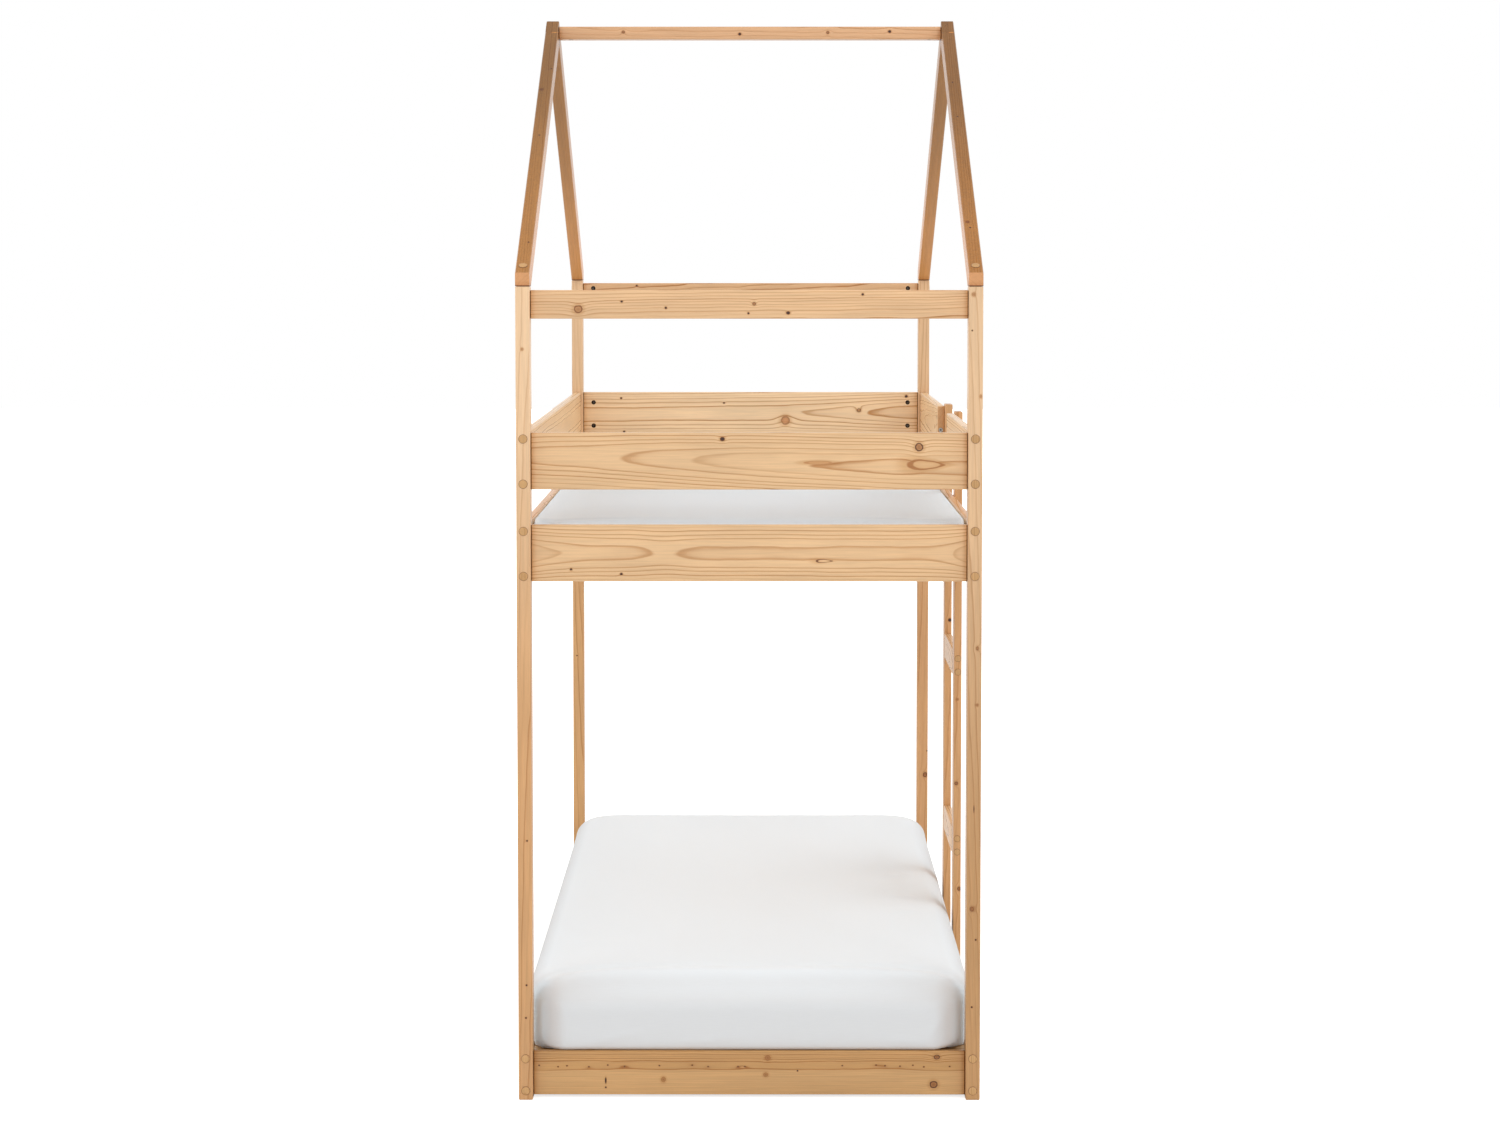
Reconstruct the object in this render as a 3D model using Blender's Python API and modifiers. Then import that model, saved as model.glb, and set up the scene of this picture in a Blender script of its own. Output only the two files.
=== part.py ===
"""House bunk bed: two bunks in a plain timber frame whose gables draw the outline of a house.

+X is the ladder side, +Y runs from the foot end to the head end and +Z is up. The origin is on
the floor, in the middle of the overall box. All lengths are in metres.
"""
from math import cos, pi, radians, sin, tan

import bmesh
import bpy
from mathutils import Matrix, Vector

# Frame, measured over the posts
bed_width = 0.980
bed_length = 2.080
post_height = 1.728
roof_pitch = radians(30)

# Planed timber, all pieces are cut from these five sections
bar_width = 0.030
bar_depth = 0.050
board_thickness = 0.018
wide_board_height = 0.120
low_board_height = 0.094
slim_board_height = 0.060
timber_edge = 0.0018
joint_gap = 0.0003

# Clear gaps down the frame, from the post tops to the upper bunk's rails, and up from the floor
eave_drop = 0.008
eave_to_guard_gap = 0.2395
guard_to_rail_gap = 0.0745
lower_rail_bottom = 0.0075

# Slatted bases
slat_count = 11
slat_width = 0.112
slat_thickness = 0.015
slat_end_gap = 0.003
ledge_width = 0.020
upper_ledge_height = 0.014
lower_ledge_height = 0.028
ledge_drop = 0.0015
lower_slat_drop = 0.006

# Ladder
ladder_width = 0.440
ladder_top_rise = 0.005
first_rung_height = 0.393
rung_pitch = 0.431

# Mattresses
upper_mattress_thickness = 0.092
lower_mattress_thickness = 0.160
upper_mattress_side_gap = 0.010
lower_mattress_side_gap = 0.003
mattress_end_gap = 0.006
mattress_corner = 0.090
mattress_edge = 0.030
mattress_crown = 0.006
mattress_draw_in = 0.010

# Wooden covers over the bolt heads, and the bolts that hold the rafters down
cap_radius = 0.0095
cap_dome_radius = 0.0080
ladder_cap_radius = 0.0080
ladder_cap_dome_radius = 0.0066
cap_rise = 0.0015
cap_root = 0.0020
side_bolt_edge = 0.0125
wide_bolt_spacing = 0.064
slim_bolt_spacing = 0.032
rafter_bolt_length = 0.110
rafter_bolt_radius = 0.004
rafter_bolt_head_radius = 0.0065
rafter_bolt_head_height = 0.008
rafter_bolt_head_depth = 0.010
bolt_clearance = 0.0004

# How far cuts run past a face, how close points are welded, and how round the turned pieces are
cut_overrun = 0.004
weld_distance = 0.00005
cap_sides = 16
bolt_sides = 16
smooth_angle = radians(40)

# Places that follow from the sizes above
half_width = bed_width / 2
half_length = bed_length / 2
side_board_x = half_width - bar_width / 2
end_board_y = half_length - bar_depth / 2
clear_half_width = half_width - bar_width
clear_half_length = half_length - bar_depth
board_half = board_thickness / 2
side_board_inner_x = side_board_x - board_half
ladder_x = side_board_x + 2 * board_half + joint_gap
ladder_half = ladder_width / 2
upright_y = ladder_half - slim_board_height / 2
ladder_outer_x = ladder_x + board_half
rafter_heel = bar_depth / cos(roof_pitch) - bar_depth * tan(roof_pitch)
apex_rise = half_length * tan(roof_pitch) + rafter_heel

# Bottom and top of each level of boards
eave_top = post_height - eave_drop
guard_top = eave_top - slim_board_height - eave_to_guard_gap
upper_rail_top = guard_top - wide_board_height - guard_to_rail_gap
levels = {
    "eave": (eave_top - slim_board_height, eave_top),
    "guard": (guard_top - wide_board_height, guard_top),
    "upper": (upper_rail_top - wide_board_height, upper_rail_top),
    "lower": (lower_rail_bottom, lower_rail_bottom + low_board_height),
}

# Colours seen in the photograph, as display values
pine_light = (0.94, 0.80, 0.65)
pine_board = (0.91, 0.77, 0.61)
pine_low = (0.80, 0.63, 0.42)
pine_roof = (0.69, 0.50, 0.33)
cover_white = (0.94, 0.94, 0.95)
steel_grey = (0.62, 0.62, 0.60)


def fresh_scene():
    """Remove whatever the scene holds and make one collection for the parts and one for cutters."""
    for leftover in list(bpy.data.objects):
        bpy.data.objects.remove(leftover, do_unlink=True)
    parts = bpy.data.collections.new("house_bunk_bed")
    guides = bpy.data.collections.new("cutters")
    bpy.context.scene.collection.children.link(parts)
    bpy.context.scene.collection.children.link(guides)
    return parts, guides


parts_collection, cutter_collection = fresh_scene()

# The bed is drawn on the middle plane between its posts. The ladder stands out on one side,
# so this empty carries everything half of that distance back to centre the overall box.
bed_frame = bpy.data.objects.new("bed_frame", None)
bed_frame.location.x = (half_width - ladder_outer_x) / 2
parts_collection.objects.link(bed_frame)


def linear(display):
    """Turn one display value between 0 and 1 into a linear one."""
    return display ** 2.2


def paint(piece, colour, roughness=0.6, metallic=0.0):
    """Give a piece a material of its own."""
    material = bpy.data.materials.new(piece.name)
    material.use_nodes = True
    shader = material.node_tree.nodes["Principled BSDF"]
    shader.inputs["Base Color"].default_value = (*[linear(value) for value in colour], 1)
    shader.inputs["Roughness"].default_value = roughness
    shader.inputs["Metallic"].default_value = metallic
    piece.data.materials.clear()
    piece.data.materials.append(material)


def add_part(name, mesh, location, turn=0.0):
    """Place a mesh as one named part of the bed, turned about the vertical."""
    piece = bpy.data.objects.new(name, mesh)
    piece.location = location
    piece.rotation_euler.z = turn
    piece.parent = bed_frame
    parts_collection.objects.link(piece)
    return piece


def add_guide(name, mesh, location, collection=None, rotation=(0, 0, 0)):
    """Place a mesh that only cuts or joins other pieces."""
    guide = bpy.data.objects.new(name, mesh)
    guide.location = location
    guide.rotation_euler = rotation
    guide.parent = bed_frame
    guide.hide_render = True
    guide.display_type = "WIRE"
    (collection or cutter_collection).objects.link(guide)
    return guide


def box_mesh(name, size):
    """Make a closed box of this size round its own middle."""
    mesh = bpy.data.meshes.new(name)
    shape = bmesh.new()
    bmesh.ops.create_cube(shape, size=1, matrix=Matrix.Diagonal((*size, 1)))
    shape.to_mesh(mesh)
    shape.free()
    return mesh


def round_mesh(name, low_radius, high_radius, height, sides):
    """Make a closed round piece that stands on its own origin."""
    mesh = bpy.data.meshes.new(name)
    shape = bmesh.new()
    bmesh.ops.create_cone(
        shape, cap_ends=True, segments=sides, radius1=low_radius, radius2=high_radius,
        depth=height, matrix=Matrix.Translation((0, 0, height / 2)))
    shape.to_mesh(mesh)
    shape.free()
    return mesh


def soften_edges(piece):
    """Plane a small flat along the edges of a timber piece."""
    bevel = piece.modifiers.new("planed_edges", "BEVEL")
    bevel.width = timber_edge
    bevel.segments = 1
    bevel.limit_method = "ANGLE"


def join_or_cut(piece, name, collection, operation):
    """Join a collection of shapes to a piece, or cut it with them."""
    change = piece.modifiers.new(name, "BOOLEAN")
    change.operation = operation
    change.operand_type = "COLLECTION"
    change.collection = collection
    change.solver = "EXACT"


def guide_set(name):
    """Make a collection for the shapes that one piece is joined with or cut by."""
    collection = bpy.data.collections.new(name)
    cutter_collection.children.link(collection)
    return collection


def add_timber(name, size, location, colour):
    """Make one straight timber piece with planed edges."""
    piece = add_part(name, box_mesh(name, size), location)
    soften_edges(piece)
    paint(piece, colour)
    return piece


def middle(low, high):
    """Return the height half way between two heights."""
    return (low + high) / 2


def pair(centre, spacing):
    """Return two heights this far apart round a centre."""
    return (centre - spacing / 2, centre + spacing / 2)


# Caps on the bolt heads. Each is a low wooden button. With the file's limit on pieces they
# are joined to the post or the upright that their bolts pass through.
post_cap = round_mesh("post_cap", cap_radius, cap_dome_radius, cap_root + cap_rise, cap_sides)
ladder_cap = round_mesh(
    "ladder_cap", ladder_cap_radius, ladder_cap_dome_radius, cap_root + cap_rise, cap_sides)


def cap_on_end_face(mesh, collection, x, y, z, end):
    """Seat a cap on a face that looks along Y, outwards for this end."""
    add_guide("cap", mesh, (x, y - end * cap_root, z), collection, (-end * pi / 2, 0, 0))


def cap_on_side_face(mesh, collection, x, y, z, side):
    """Seat a cap on a face that looks along X, outwards for this side."""
    add_guide("cap", mesh, (x - side * cap_root, y, z), collection, (0, side * pi / 2, 0))


def side_bolt_heights(level):
    """Return the heights of the two bolts that run along the bed into a side board."""
    low, high = levels[level]
    return (low + side_bolt_edge, high - side_bolt_edge)


def end_bolt_heights(level):
    """Return the heights of the two bolts that run across the bed into an end board."""
    low, high = levels[level]
    slim = level in ("eave", "lower")
    return pair(middle(low, high), slim_bolt_spacing if slim else wide_bolt_spacing)


# Bolts through the rafter feet into the post tops. One turned drill, wide for the head and
# narrow for the shank, makes the hole in both pieces.
foot_slope_rise = rafter_heel + bar_depth / 2 * tan(roof_pitch)
bolt_head_top = post_height + foot_slope_rise - rafter_bolt_head_depth
bolt_seat = bolt_head_top - rafter_bolt_head_height


def turned_mesh(name, profile):
    """Turn a profile, given from the top down its outer side, round the vertical."""
    mesh = bpy.data.meshes.new(name)
    edges = [(index, index + 1) for index in range(len(profile) - 1)]
    mesh.from_pydata([(radius, 0, height) for radius, height in profile], edges, [])
    holder = bpy.data.objects.new(name, mesh)
    cutter_collection.objects.link(holder)
    turn = holder.modifiers.new("turned", "SCREW")
    turn.steps = bolt_sides
    turn.render_steps = bolt_sides
    turn.use_merge_vertices = True
    turn.merge_threshold = weld_distance
    turn.use_smooth_shade = False
    bpy.context.view_layer.update()
    graph = bpy.context.evaluated_depsgraph_get()
    turned = bpy.data.meshes.new_from_object(holder.evaluated_get(graph))
    turned.name = name
    bpy.data.objects.remove(holder, do_unlink=True)
    return turned


bolt_mesh = turned_mesh("rafter_bolt", [
    (0, 0),
    (rafter_bolt_head_radius, 0),
    (rafter_bolt_head_radius, -rafter_bolt_head_height),
    (rafter_bolt_radius, -rafter_bolt_head_height),
    (rafter_bolt_radius, -rafter_bolt_length),
    (0, -rafter_bolt_length),
])
drill_mesh = turned_mesh("rafter_drill", [
    (0, rafter_bolt_head_depth + bar_depth),
    (rafter_bolt_head_radius + bolt_clearance, rafter_bolt_head_depth + bar_depth),
    (rafter_bolt_head_radius + bolt_clearance, -rafter_bolt_head_height - joint_gap),
    (rafter_bolt_radius + bolt_clearance, -rafter_bolt_head_height - joint_gap),
    (rafter_bolt_radius + bolt_clearance, -rafter_bolt_length - cut_overrun),
    (0, -rafter_bolt_length - cut_overrun),
])


def add_post(name, side, end):
    """Make a corner post with its bolt caps, drilled from the top for the rafter bolt."""
    x = side * side_board_x
    y = end * end_board_y
    post = add_timber(name, (bar_width, bar_depth, post_height), (x, y, post_height / 2), pine_light)
    caps = guide_set(f"{name}_caps")
    for level in ("guard", "upper", "lower"):
        for z in side_bolt_heights(level):
            cap_on_end_face(post_cap, caps, x, end * half_length, z, end)
    for level in levels:
        for z in end_bolt_heights(level):
            cap_on_side_face(post_cap, caps, side * half_width, y, z, side)
    join_or_cut(post, "caps", caps, "UNION")
    drills = guide_set(f"{name}_drill")
    add_guide("drill", drill_mesh, (x, y, bolt_head_top), drills)
    join_or_cut(post, "bolt_hole", drills, "DIFFERENCE")
    return post


def rafter_mesh():
    """Make a foot end rafter, with its origin at the top outer edge of the post under it.

    The foot is cut level to sit on the post and plumb to end flush with it. At the ridge one
    half of its width runs on to the far slope and the other half stops under the far rafter.
    """
    reach = bar_depth / sin(roof_pitch)
    bar_length = half_length / cos(roof_pitch) + 2 * reach
    top_middle = Vector((0, half_length / 2, rafter_heel + half_length / 2 * tan(roof_pitch)))
    bar_centre = top_middle - Vector((0, 0, bar_depth / cos(roof_pitch) / 2))
    bar = bpy.data.objects.new("rafter_bar", box_mesh("rafter", (bar_width, bar_length, bar_depth)))
    cutter_collection.objects.link(bar)
    bar.location = bar_centre
    bar.rotation_euler.x = roof_pitch
    soften_edges(bar)

    cuts = guide_set("rafter_cuts")
    apex = Vector((0, half_length, apex_rise))
    wide = bar_width + 2 * cut_overrun
    waste = bed_length

    def cut_box(cut_name, size, centre, turn=0.0):
        cutter = add_guide(cut_name, box_mesh(cut_name, size), centre, cuts, (turn, 0, 0))
        cutter.parent = None

    cut_box("foot_cut", (wide, waste, bar_depth * 2), (0, 0, joint_gap - bar_depth))
    cut_box("plumb_cut", (wide, waste, waste), (0, -waste / 2, 0))
    far_slope_up = Vector((0, sin(roof_pitch), cos(roof_pitch)))
    cut_box("far_slope_cut", (wide, waste, waste), apex + far_slope_up * waste / 2, -roof_pitch)
    lap_depth = bar_depth + joint_gap
    lap_centre = apex - far_slope_up * (lap_depth - cut_overrun) / 2
    half_bar = bar_width / 2 + cut_overrun
    lap_centre.x = -half_bar / 2 + joint_gap / 2
    cut_box("lap_cut", (half_bar, waste, lap_depth + cut_overrun), lap_centre, -roof_pitch)
    add_guide(
        "drill", drill_mesh, (0, bar_depth / 2, bolt_head_top - post_height), cuts).parent = None
    join_or_cut(bar, "cuts", cuts, "DIFFERENCE")

    bpy.context.view_layer.update()
    graph = bpy.context.evaluated_depsgraph_get()
    mesh = bpy.data.meshes.new_from_object(bar.evaluated_get(graph))
    mesh.name = "rafter"
    mesh.transform(bar.matrix_world)
    bpy.data.objects.remove(bar, do_unlink=True)
    for cutter in list(cuts.objects):
        bpy.data.objects.remove(cutter, do_unlink=True)
    bpy.data.collections.remove(cuts)
    return mesh


def add_posts_and_roof():
    """Set up the four posts, the rafters with their bolts, the ridge and the eave beams."""
    shared_rafter = rafter_mesh()
    for side, side_name in ((-1, "left"), (1, "right")):
        for end, end_name in ((-1, "foot"), (1, "head")):
            place_name = f"{end_name}_{side_name}"
            add_post(f"post_{place_name}", side, end)
            turn = 0 if end < 0 else pi
            rafter = add_part(
                f"rafter_{place_name}", shared_rafter.copy(),
                (side * side_board_x, end * half_length, post_height), turn)
            paint(rafter, pine_roof)
            bolt = add_part(
                f"rafter_bolt_{place_name}", bolt_mesh.copy(),
                (side * side_board_x, end * end_board_y, bolt_head_top))
            bolt.data.shade_smooth()
            bolt.data.set_sharp_from_angle(angle=smooth_angle)
            paint(bolt, steel_grey, 0.35, 1.0)
    ridge_top = post_height + apex_rise - bar_depth / 2 * tan(roof_pitch)
    ridge_length = 2 * (clear_half_width - joint_gap)
    add_timber(
        "ridge_beam", (ridge_length, bar_depth, bar_width), (0, 0, ridge_top - bar_width / 2),
        pine_board)


def add_end_board(name, level, end, colour):
    """Fit a board between the two posts of one end."""
    low, high = levels[level]
    length = 2 * (clear_half_width - joint_gap)
    add_timber(
        name, (length, board_thickness, high - low), (0, end * end_board_y, middle(low, high)),
        colour)


def add_side_board(name, level, side, y_from, y_to, colour):
    """Fit a board along one side between two places."""
    low, high = levels[level]
    add_timber(
        name, (board_thickness, y_to - y_from, high - low),
        (side * side_board_x, middle(y_from, y_to), middle(low, high)), colour)


def add_boards():
    """Fit the eave beams, the guard boards and the rails of both bunks."""
    post_face = clear_half_length - joint_gap
    for end, end_name in ((-1, "foot"), (1, "head")):
        add_end_board(f"eave_beam_{end_name}", "eave", end, pine_board)
        add_end_board(f"guard_board_{end_name}", "guard", end, pine_board)
        add_end_board(f"upper_rail_{end_name}", "upper", end, pine_board)
        add_end_board(f"lower_rail_{end_name}", "lower", end, pine_low)
    for side, side_name in ((-1, "left"), (1, "right")):
        for level, colour in (("upper", pine_board), ("lower", pine_low)):
            add_side_board(
                f"{level}_rail_{side_name}", level, side, -post_face, post_face, colour)
    add_side_board("guard_board_left", "guard", -1, -post_face, post_face, pine_board)
    add_side_board("guard_board_right_foot", "guard", 1, -post_face, -upright_y, pine_board)
    add_side_board("guard_board_right_head", "guard", 1, upright_y, post_face, pine_board)


# Slats lie on a ledge along each side rail. The upper bunk's ledge is at the rail's foot.
# The lower bunk's ledge is higher up, so that its thick mattress clears the rail's top.
upper_ledge_bottom = levels["upper"][0] + ledge_drop
upper_slat_bottom = upper_ledge_bottom + upper_ledge_height + joint_gap
lower_slat_bottom = levels["lower"][1] - lower_slat_drop - slat_thickness
lower_ledge_bottom = lower_slat_bottom - joint_gap - lower_ledge_height
ledge_half_length = clear_half_length - joint_gap
ledge_x = side_board_inner_x - joint_gap - ledge_width / 2


def add_slatted_base(bunk, ledge_bottom, ledge_height, slat_bottom):
    """Fix the two ledges of one bunk and lay its slats on them."""
    for side, side_name in ((-1, "left"), (1, "right")):
        add_timber(
            f"{bunk}_slat_ledge_{side_name}", (ledge_width, 2 * ledge_half_length, ledge_height),
            (side * ledge_x, 0, ledge_bottom + ledge_height / 2), pine_low)
    slat_length = 2 * (side_board_inner_x - slat_end_gap)
    first_y = -clear_half_length + slat_end_gap + slat_width / 2
    step = -2 * first_y / (slat_count - 1)
    for index in range(slat_count):
        add_timber(
            f"{bunk}_slat_{index + 1:02d}", (slat_length, slat_width, slat_thickness),
            (0, first_y + step * index, slat_bottom + slat_thickness / 2), pine_board)


def add_ladder():
    """Stand the ladder outside the right rails, across the gap between the guard boards."""
    height = guard_top + ladder_top_rise
    rungs = {"lower": first_rung_height, "upper": first_rung_height + rung_pitch}
    quarter = slim_board_height / 4
    for end, end_name in ((-1, "foot"), (1, "head")):
        name = f"ladder_upright_{end_name}"
        upright = add_timber(
            name, (board_thickness, slim_board_height, height),
            (ladder_x, end * upright_y, height / 2), pine_board)
        caps = guide_set(f"{name}_caps")
        for rung_height in rungs.values():
            for z in pair(rung_height, slim_bolt_spacing):
                cap_on_end_face(ladder_cap, caps, ladder_x, end * ladder_half, z, end)
        for level, offset in (("guard", quarter), ("upper", 0), ("lower", 0)):
            for z in end_bolt_heights(level):
                y = end * (upright_y + offset)
                cap_on_side_face(ladder_cap, caps, ladder_outer_x, y, z, 1)
        join_or_cut(upright, "caps", caps, "UNION")
    rung_length = ladder_width - 2 * (slim_board_height + joint_gap)
    for name, z in rungs.items():
        add_timber(
            f"ladder_rung_{name}", (board_thickness, rung_length, slim_board_height),
            (ladder_x, 0, z), pine_board)


def add_mattress(name, thickness, bottom, side_gap):
    """Make a covered foam mattress: a coarse cage, smoothed, crowned and drawn in below."""
    half_x = side_board_inner_x - side_gap
    half_y = end_board_y - board_half - mattress_end_gap
    mesh = bpy.data.meshes.new(name)
    cage = bmesh.new()
    bmesh.ops.create_cube(
        cage, size=1, matrix=Matrix.Diagonal((2 * half_x, 2 * half_y, thickness, 1)))
    long_cut_shares = (0, 0.35, 0.7)
    cross_cut_shares = (0, 0.5)
    planes = [("y", share * half_y) for share in long_cut_shares]
    planes += [("x", share * half_x) for share in cross_cut_shares]
    planes += [("y", half_y - mattress_corner), ("x", half_x - mattress_corner)]
    planes += [("z", thickness / 2 - mattress_edge)]
    for axis, place in planes:
        normal = Vector((axis == "x", axis == "y", axis == "z"))
        for way in (-1, 1):
            everything = cage.verts[:] + cage.edges[:] + cage.faces[:]
            bmesh.ops.bisect_plane(cage, geom=everything, plane_co=normal * place * way, plane_no=normal)
    for vert in cage.verts:
        if vert.co.z > 0:
            along = 1 - (vert.co.y / half_y) ** 2
            across = 1 - (vert.co.x / half_x) ** 2
            vert.co.z += mattress_crown * along * across
        elif vert.co.z < -(thickness - mattress_edge) / 2:
            vert.co.x *= 1 - mattress_draw_in / half_x
            vert.co.y *= 1 - mattress_draw_in / half_y
        vert.co.z += thickness / 2
    cage.to_mesh(mesh)
    cage.free()
    mesh.shade_smooth()
    mattress = add_part(name, mesh, (0, 0, bottom))
    smooth = mattress.modifiers.new("soft_form", "SUBSURF")
    smooth.levels = 1
    smooth.render_levels = 1
    paint(mattress, cover_white, 0.85)


add_posts_and_roof()
add_boards()
add_slatted_base("upper", upper_ledge_bottom, upper_ledge_height, upper_slat_bottom)
add_slatted_base("lower", lower_ledge_bottom, lower_ledge_height, lower_slat_bottom)
add_ladder()
add_mattress(
    "mattress_upper", upper_mattress_thickness,
    upper_slat_bottom + slat_thickness + joint_gap, upper_mattress_side_gap)
add_mattress(
    "mattress_lower", lower_mattress_thickness,
    lower_slat_bottom + slat_thickness + joint_gap, lower_mattress_side_gap)
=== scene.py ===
"""The house bunk bed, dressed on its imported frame, in the order in which it is put together.

+X is the ladder side, +Y runs from the foot end to the head end, +Z is up. Lengths are in metres.
"""
from math import cos, pi, radians, sin, tan
from random import Random

import bmesh
import bpy
import numpy as np
from mathutils import Matrix, Vector


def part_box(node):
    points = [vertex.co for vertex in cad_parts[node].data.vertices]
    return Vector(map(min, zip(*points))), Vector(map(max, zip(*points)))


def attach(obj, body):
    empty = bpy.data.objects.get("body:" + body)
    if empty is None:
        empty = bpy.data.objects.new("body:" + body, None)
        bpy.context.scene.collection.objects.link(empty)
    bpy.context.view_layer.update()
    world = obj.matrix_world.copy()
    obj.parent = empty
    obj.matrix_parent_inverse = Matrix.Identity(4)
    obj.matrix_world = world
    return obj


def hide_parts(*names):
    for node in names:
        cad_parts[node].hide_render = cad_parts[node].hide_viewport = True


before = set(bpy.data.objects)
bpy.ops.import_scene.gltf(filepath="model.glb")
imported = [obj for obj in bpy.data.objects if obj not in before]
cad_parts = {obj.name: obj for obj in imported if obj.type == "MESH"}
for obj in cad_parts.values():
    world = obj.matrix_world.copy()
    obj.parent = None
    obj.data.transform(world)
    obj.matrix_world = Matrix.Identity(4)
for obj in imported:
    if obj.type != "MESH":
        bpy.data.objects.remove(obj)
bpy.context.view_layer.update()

# Corner posts.
# Four planed pine bars stand square-cut on the floor and carry everything else. They are 30 x 50 mm,
# with the edges rounded by sandpaper, and their colour is darker and warmer towards the foot.
bar_size = Vector((0.030, 0.050))
post_height = 1.728
sanded_edge = 0.0022
# The tone of each post's wood and of its foot, and for one post the stretch over which they fade; that
# post's stretch is set to paint light over the shade that the upper bunk casts on it
post_tones = {
    "post_foot_left": ((0.965, 0.818, 0.652), (0.845, 0.648, 0.445)),
    "post_foot_right": ((0.930, 0.780, 0.612), (0.775, 0.592, 0.396), (-0.45, 0.82)),
    "post_head_left": ((0.920, 0.762, 0.590), (0.885, 0.688, 0.465)),
    "post_head_right": ((0.900, 0.736, 0.558), (0.860, 0.655, 0.450)),
}


def linear(colour):
    """Turn a display colour into the linear one that a shader takes."""
    return tuple(((value + 0.055) / 1.055) ** 2.4 for value in colour) + (1.0,)


def new_material(name):
    """Start a material, and return it with its shader and its coordinates."""
    material = bpy.data.materials.new(name)
    material.use_nodes = True
    nodes = material.node_tree.nodes
    return material, nodes["Principled BSDF"], nodes.new("ShaderNodeTexCoord").outputs


def adjust(thing, **settings):
    """Change some settings of a node, a modifier or the like."""
    for name, value in settings.items():
        setattr(thing, name, value)
    return thing


def fill(node, inputs):
    """Fill inputs of a shader node with values or links."""
    for place, value in inputs.items():
        if isinstance(value, bpy.types.NodeSocket):
            node.id_data.links.new(value, node.inputs[place])
        else:
            node.inputs[place].default_value = value
    return node


def add_node(kind, inputs, **settings):
    """Add one shader node beside those that feed it."""
    tree = next(value.id_data for value in inputs.values() if isinstance(value, bpy.types.NodeSocket))
    return fill(adjust(tree.nodes.new(kind), **settings), inputs)


def reckon(operation, *values):
    """Work out one number from others in the shader."""
    return add_node("ShaderNodeMath", dict(enumerate(values)), operation=operation).outputs[0]


def reckon_vector(operation, *values):
    """Work out one vector, or its length or product, in the shader."""
    node = add_node("ShaderNodeVectorMath", dict(enumerate(values)), operation=operation)
    return node.outputs["Value" if operation in ("LENGTH", "DOT_PRODUCT") else "Vector"]


def ease(value, low, high, to_low=0.0, to_high=1.0):
    """Go smoothly from one value to another as an input passes from low to high."""
    return add_node("ShaderNodeMapRange", {
        "Value": value, "From Min": low, "From Max": high, "To Min": to_low, "To Max": to_high,
    }, interpolation_type="SMOOTHSTEP").outputs[0]


def lay_over(share, under, over, how="MIX"):
    """Lay one colour over another in the shader."""
    return add_node(
        "ShaderNodeMix", {0: share, 6: under, 7: over}, data_type="RGBA", blend_type=how).outputs[2]


def dim(share, colour, left):
    """Leave only so much of a colour's red, green and blue, as far as a share says."""
    return lay_over(share, colour, (*left, 1.0), "MULTIPLY")


def parts_of(vector):
    """Split a vector of the shader into its three numbers."""
    return add_node("ShaderNodeSeparateXYZ", {0: vector}).outputs


def grey(level):
    """Turn a number of the shader into a grey."""
    return add_node("ShaderNodeCombineXYZ", {0: level, 1: level, 2: level}).outputs[0]


def cloud(place, stretch, detail=2.0, dimensions="3D"):
    """Noise on coordinates that are stretched first, as a node with a value and a colour."""
    inputs = {"Scale": 1.0, "Detail": detail}
    if dimensions == "1D":
        inputs["W"] = reckon("MULTIPLY", place, stretch)
    else:
        inputs["Vector"] = reckon_vector("MULTIPLY", place, stretch)
    return add_node("ShaderNodeTexNoise", inputs, noise_dimensions=dimensions)


# For each kind of mark: how far it pushes the rings aside, over how long and how wide a patch, and
# what it leaves of the wood's own colour at its middle, inside and at its rim
marks_of_pine = {
    "knot": (0.9, 2.4, 2.4, (0.46, 0.30, 0.19), (0.60, 0.42, 0.28), (0.14, 0.07, 0.04)),
    "ripe_knot": (0.9, 2.4, 2.4, (0.70, 0.48, 0.34), (0.62, 0.40, 0.27), (0.46, 0.28, 0.17)),
    "pale_knot": (0.9, 2.4, 2.4, (0.58, 0.42, 0.29), (0.70, 0.53, 0.38), (0.34, 0.20, 0.12)),
    "pin": (0.5, 2.4, 2.4, (0.05, 0.03, 0.02), (0.08, 0.04, 0.03), (0.22, 0.11, 0.06)),
    "eyelet": (1.0, 7.0, 2.6, (0.10, 0.05, 0.03), (0.14, 0.07, 0.04), (0.30, 0.18, 0.10)),
    "speck": (0.3, 2.0, 2.0, (0.52, 0.36, 0.24), (0.70, 0.55, 0.42), (0.56, 0.40, 0.27)),
    "crack": (0.0, 1.0, 1.0, (0.03, 0.02, 0.01), (0.03, 0.02, 0.01), (0.24, 0.12, 0.07)),
    "pocket": (0.2, 1.4, 1.4, (1.00, 0.97, 0.93), (0.94, 0.88, 0.80), (0.22, 0.11, 0.06)),
    "eye": (0.2, 1.2, 1.6, (0.93, 0.86, 0.77), (0.86, 0.76, 0.64), (0.52, 0.33, 0.19)),
    "patch": (0.2, 1.2, 1.2, (0.76, 0.60, 0.44), (0.78, 0.62, 0.47), (0.66, 0.48, 0.33)),
    # A painted highlight: a pale line where an edge catches the light
    "painted_arris_highlight": (0.0, 1.0, 1.0, (2.50, 2.40, 2.30), (2.30, 2.20, 2.10), (1.60, 1.50, 1.40)),
}


def bend_grain(local, shifted, flow):
    """Let the log wander slowly and in a small wave, which carry the rings with them."""
    bent = local
    for stretch, size in (((1.3, 5.0, 5.0), flow), ((9.0, 34.0, 34.0), flow * 0.42)):
        sway = cloud(shifted, stretch).outputs["Color"]
        sway = reckon_vector("SUBTRACT", sway, (0.5, 0.5, 0.5))
        bent = reckon_vector("MULTIPLY_ADD", sway, (0.0, size, size), bent)
    return parts_of(bent)


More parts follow.
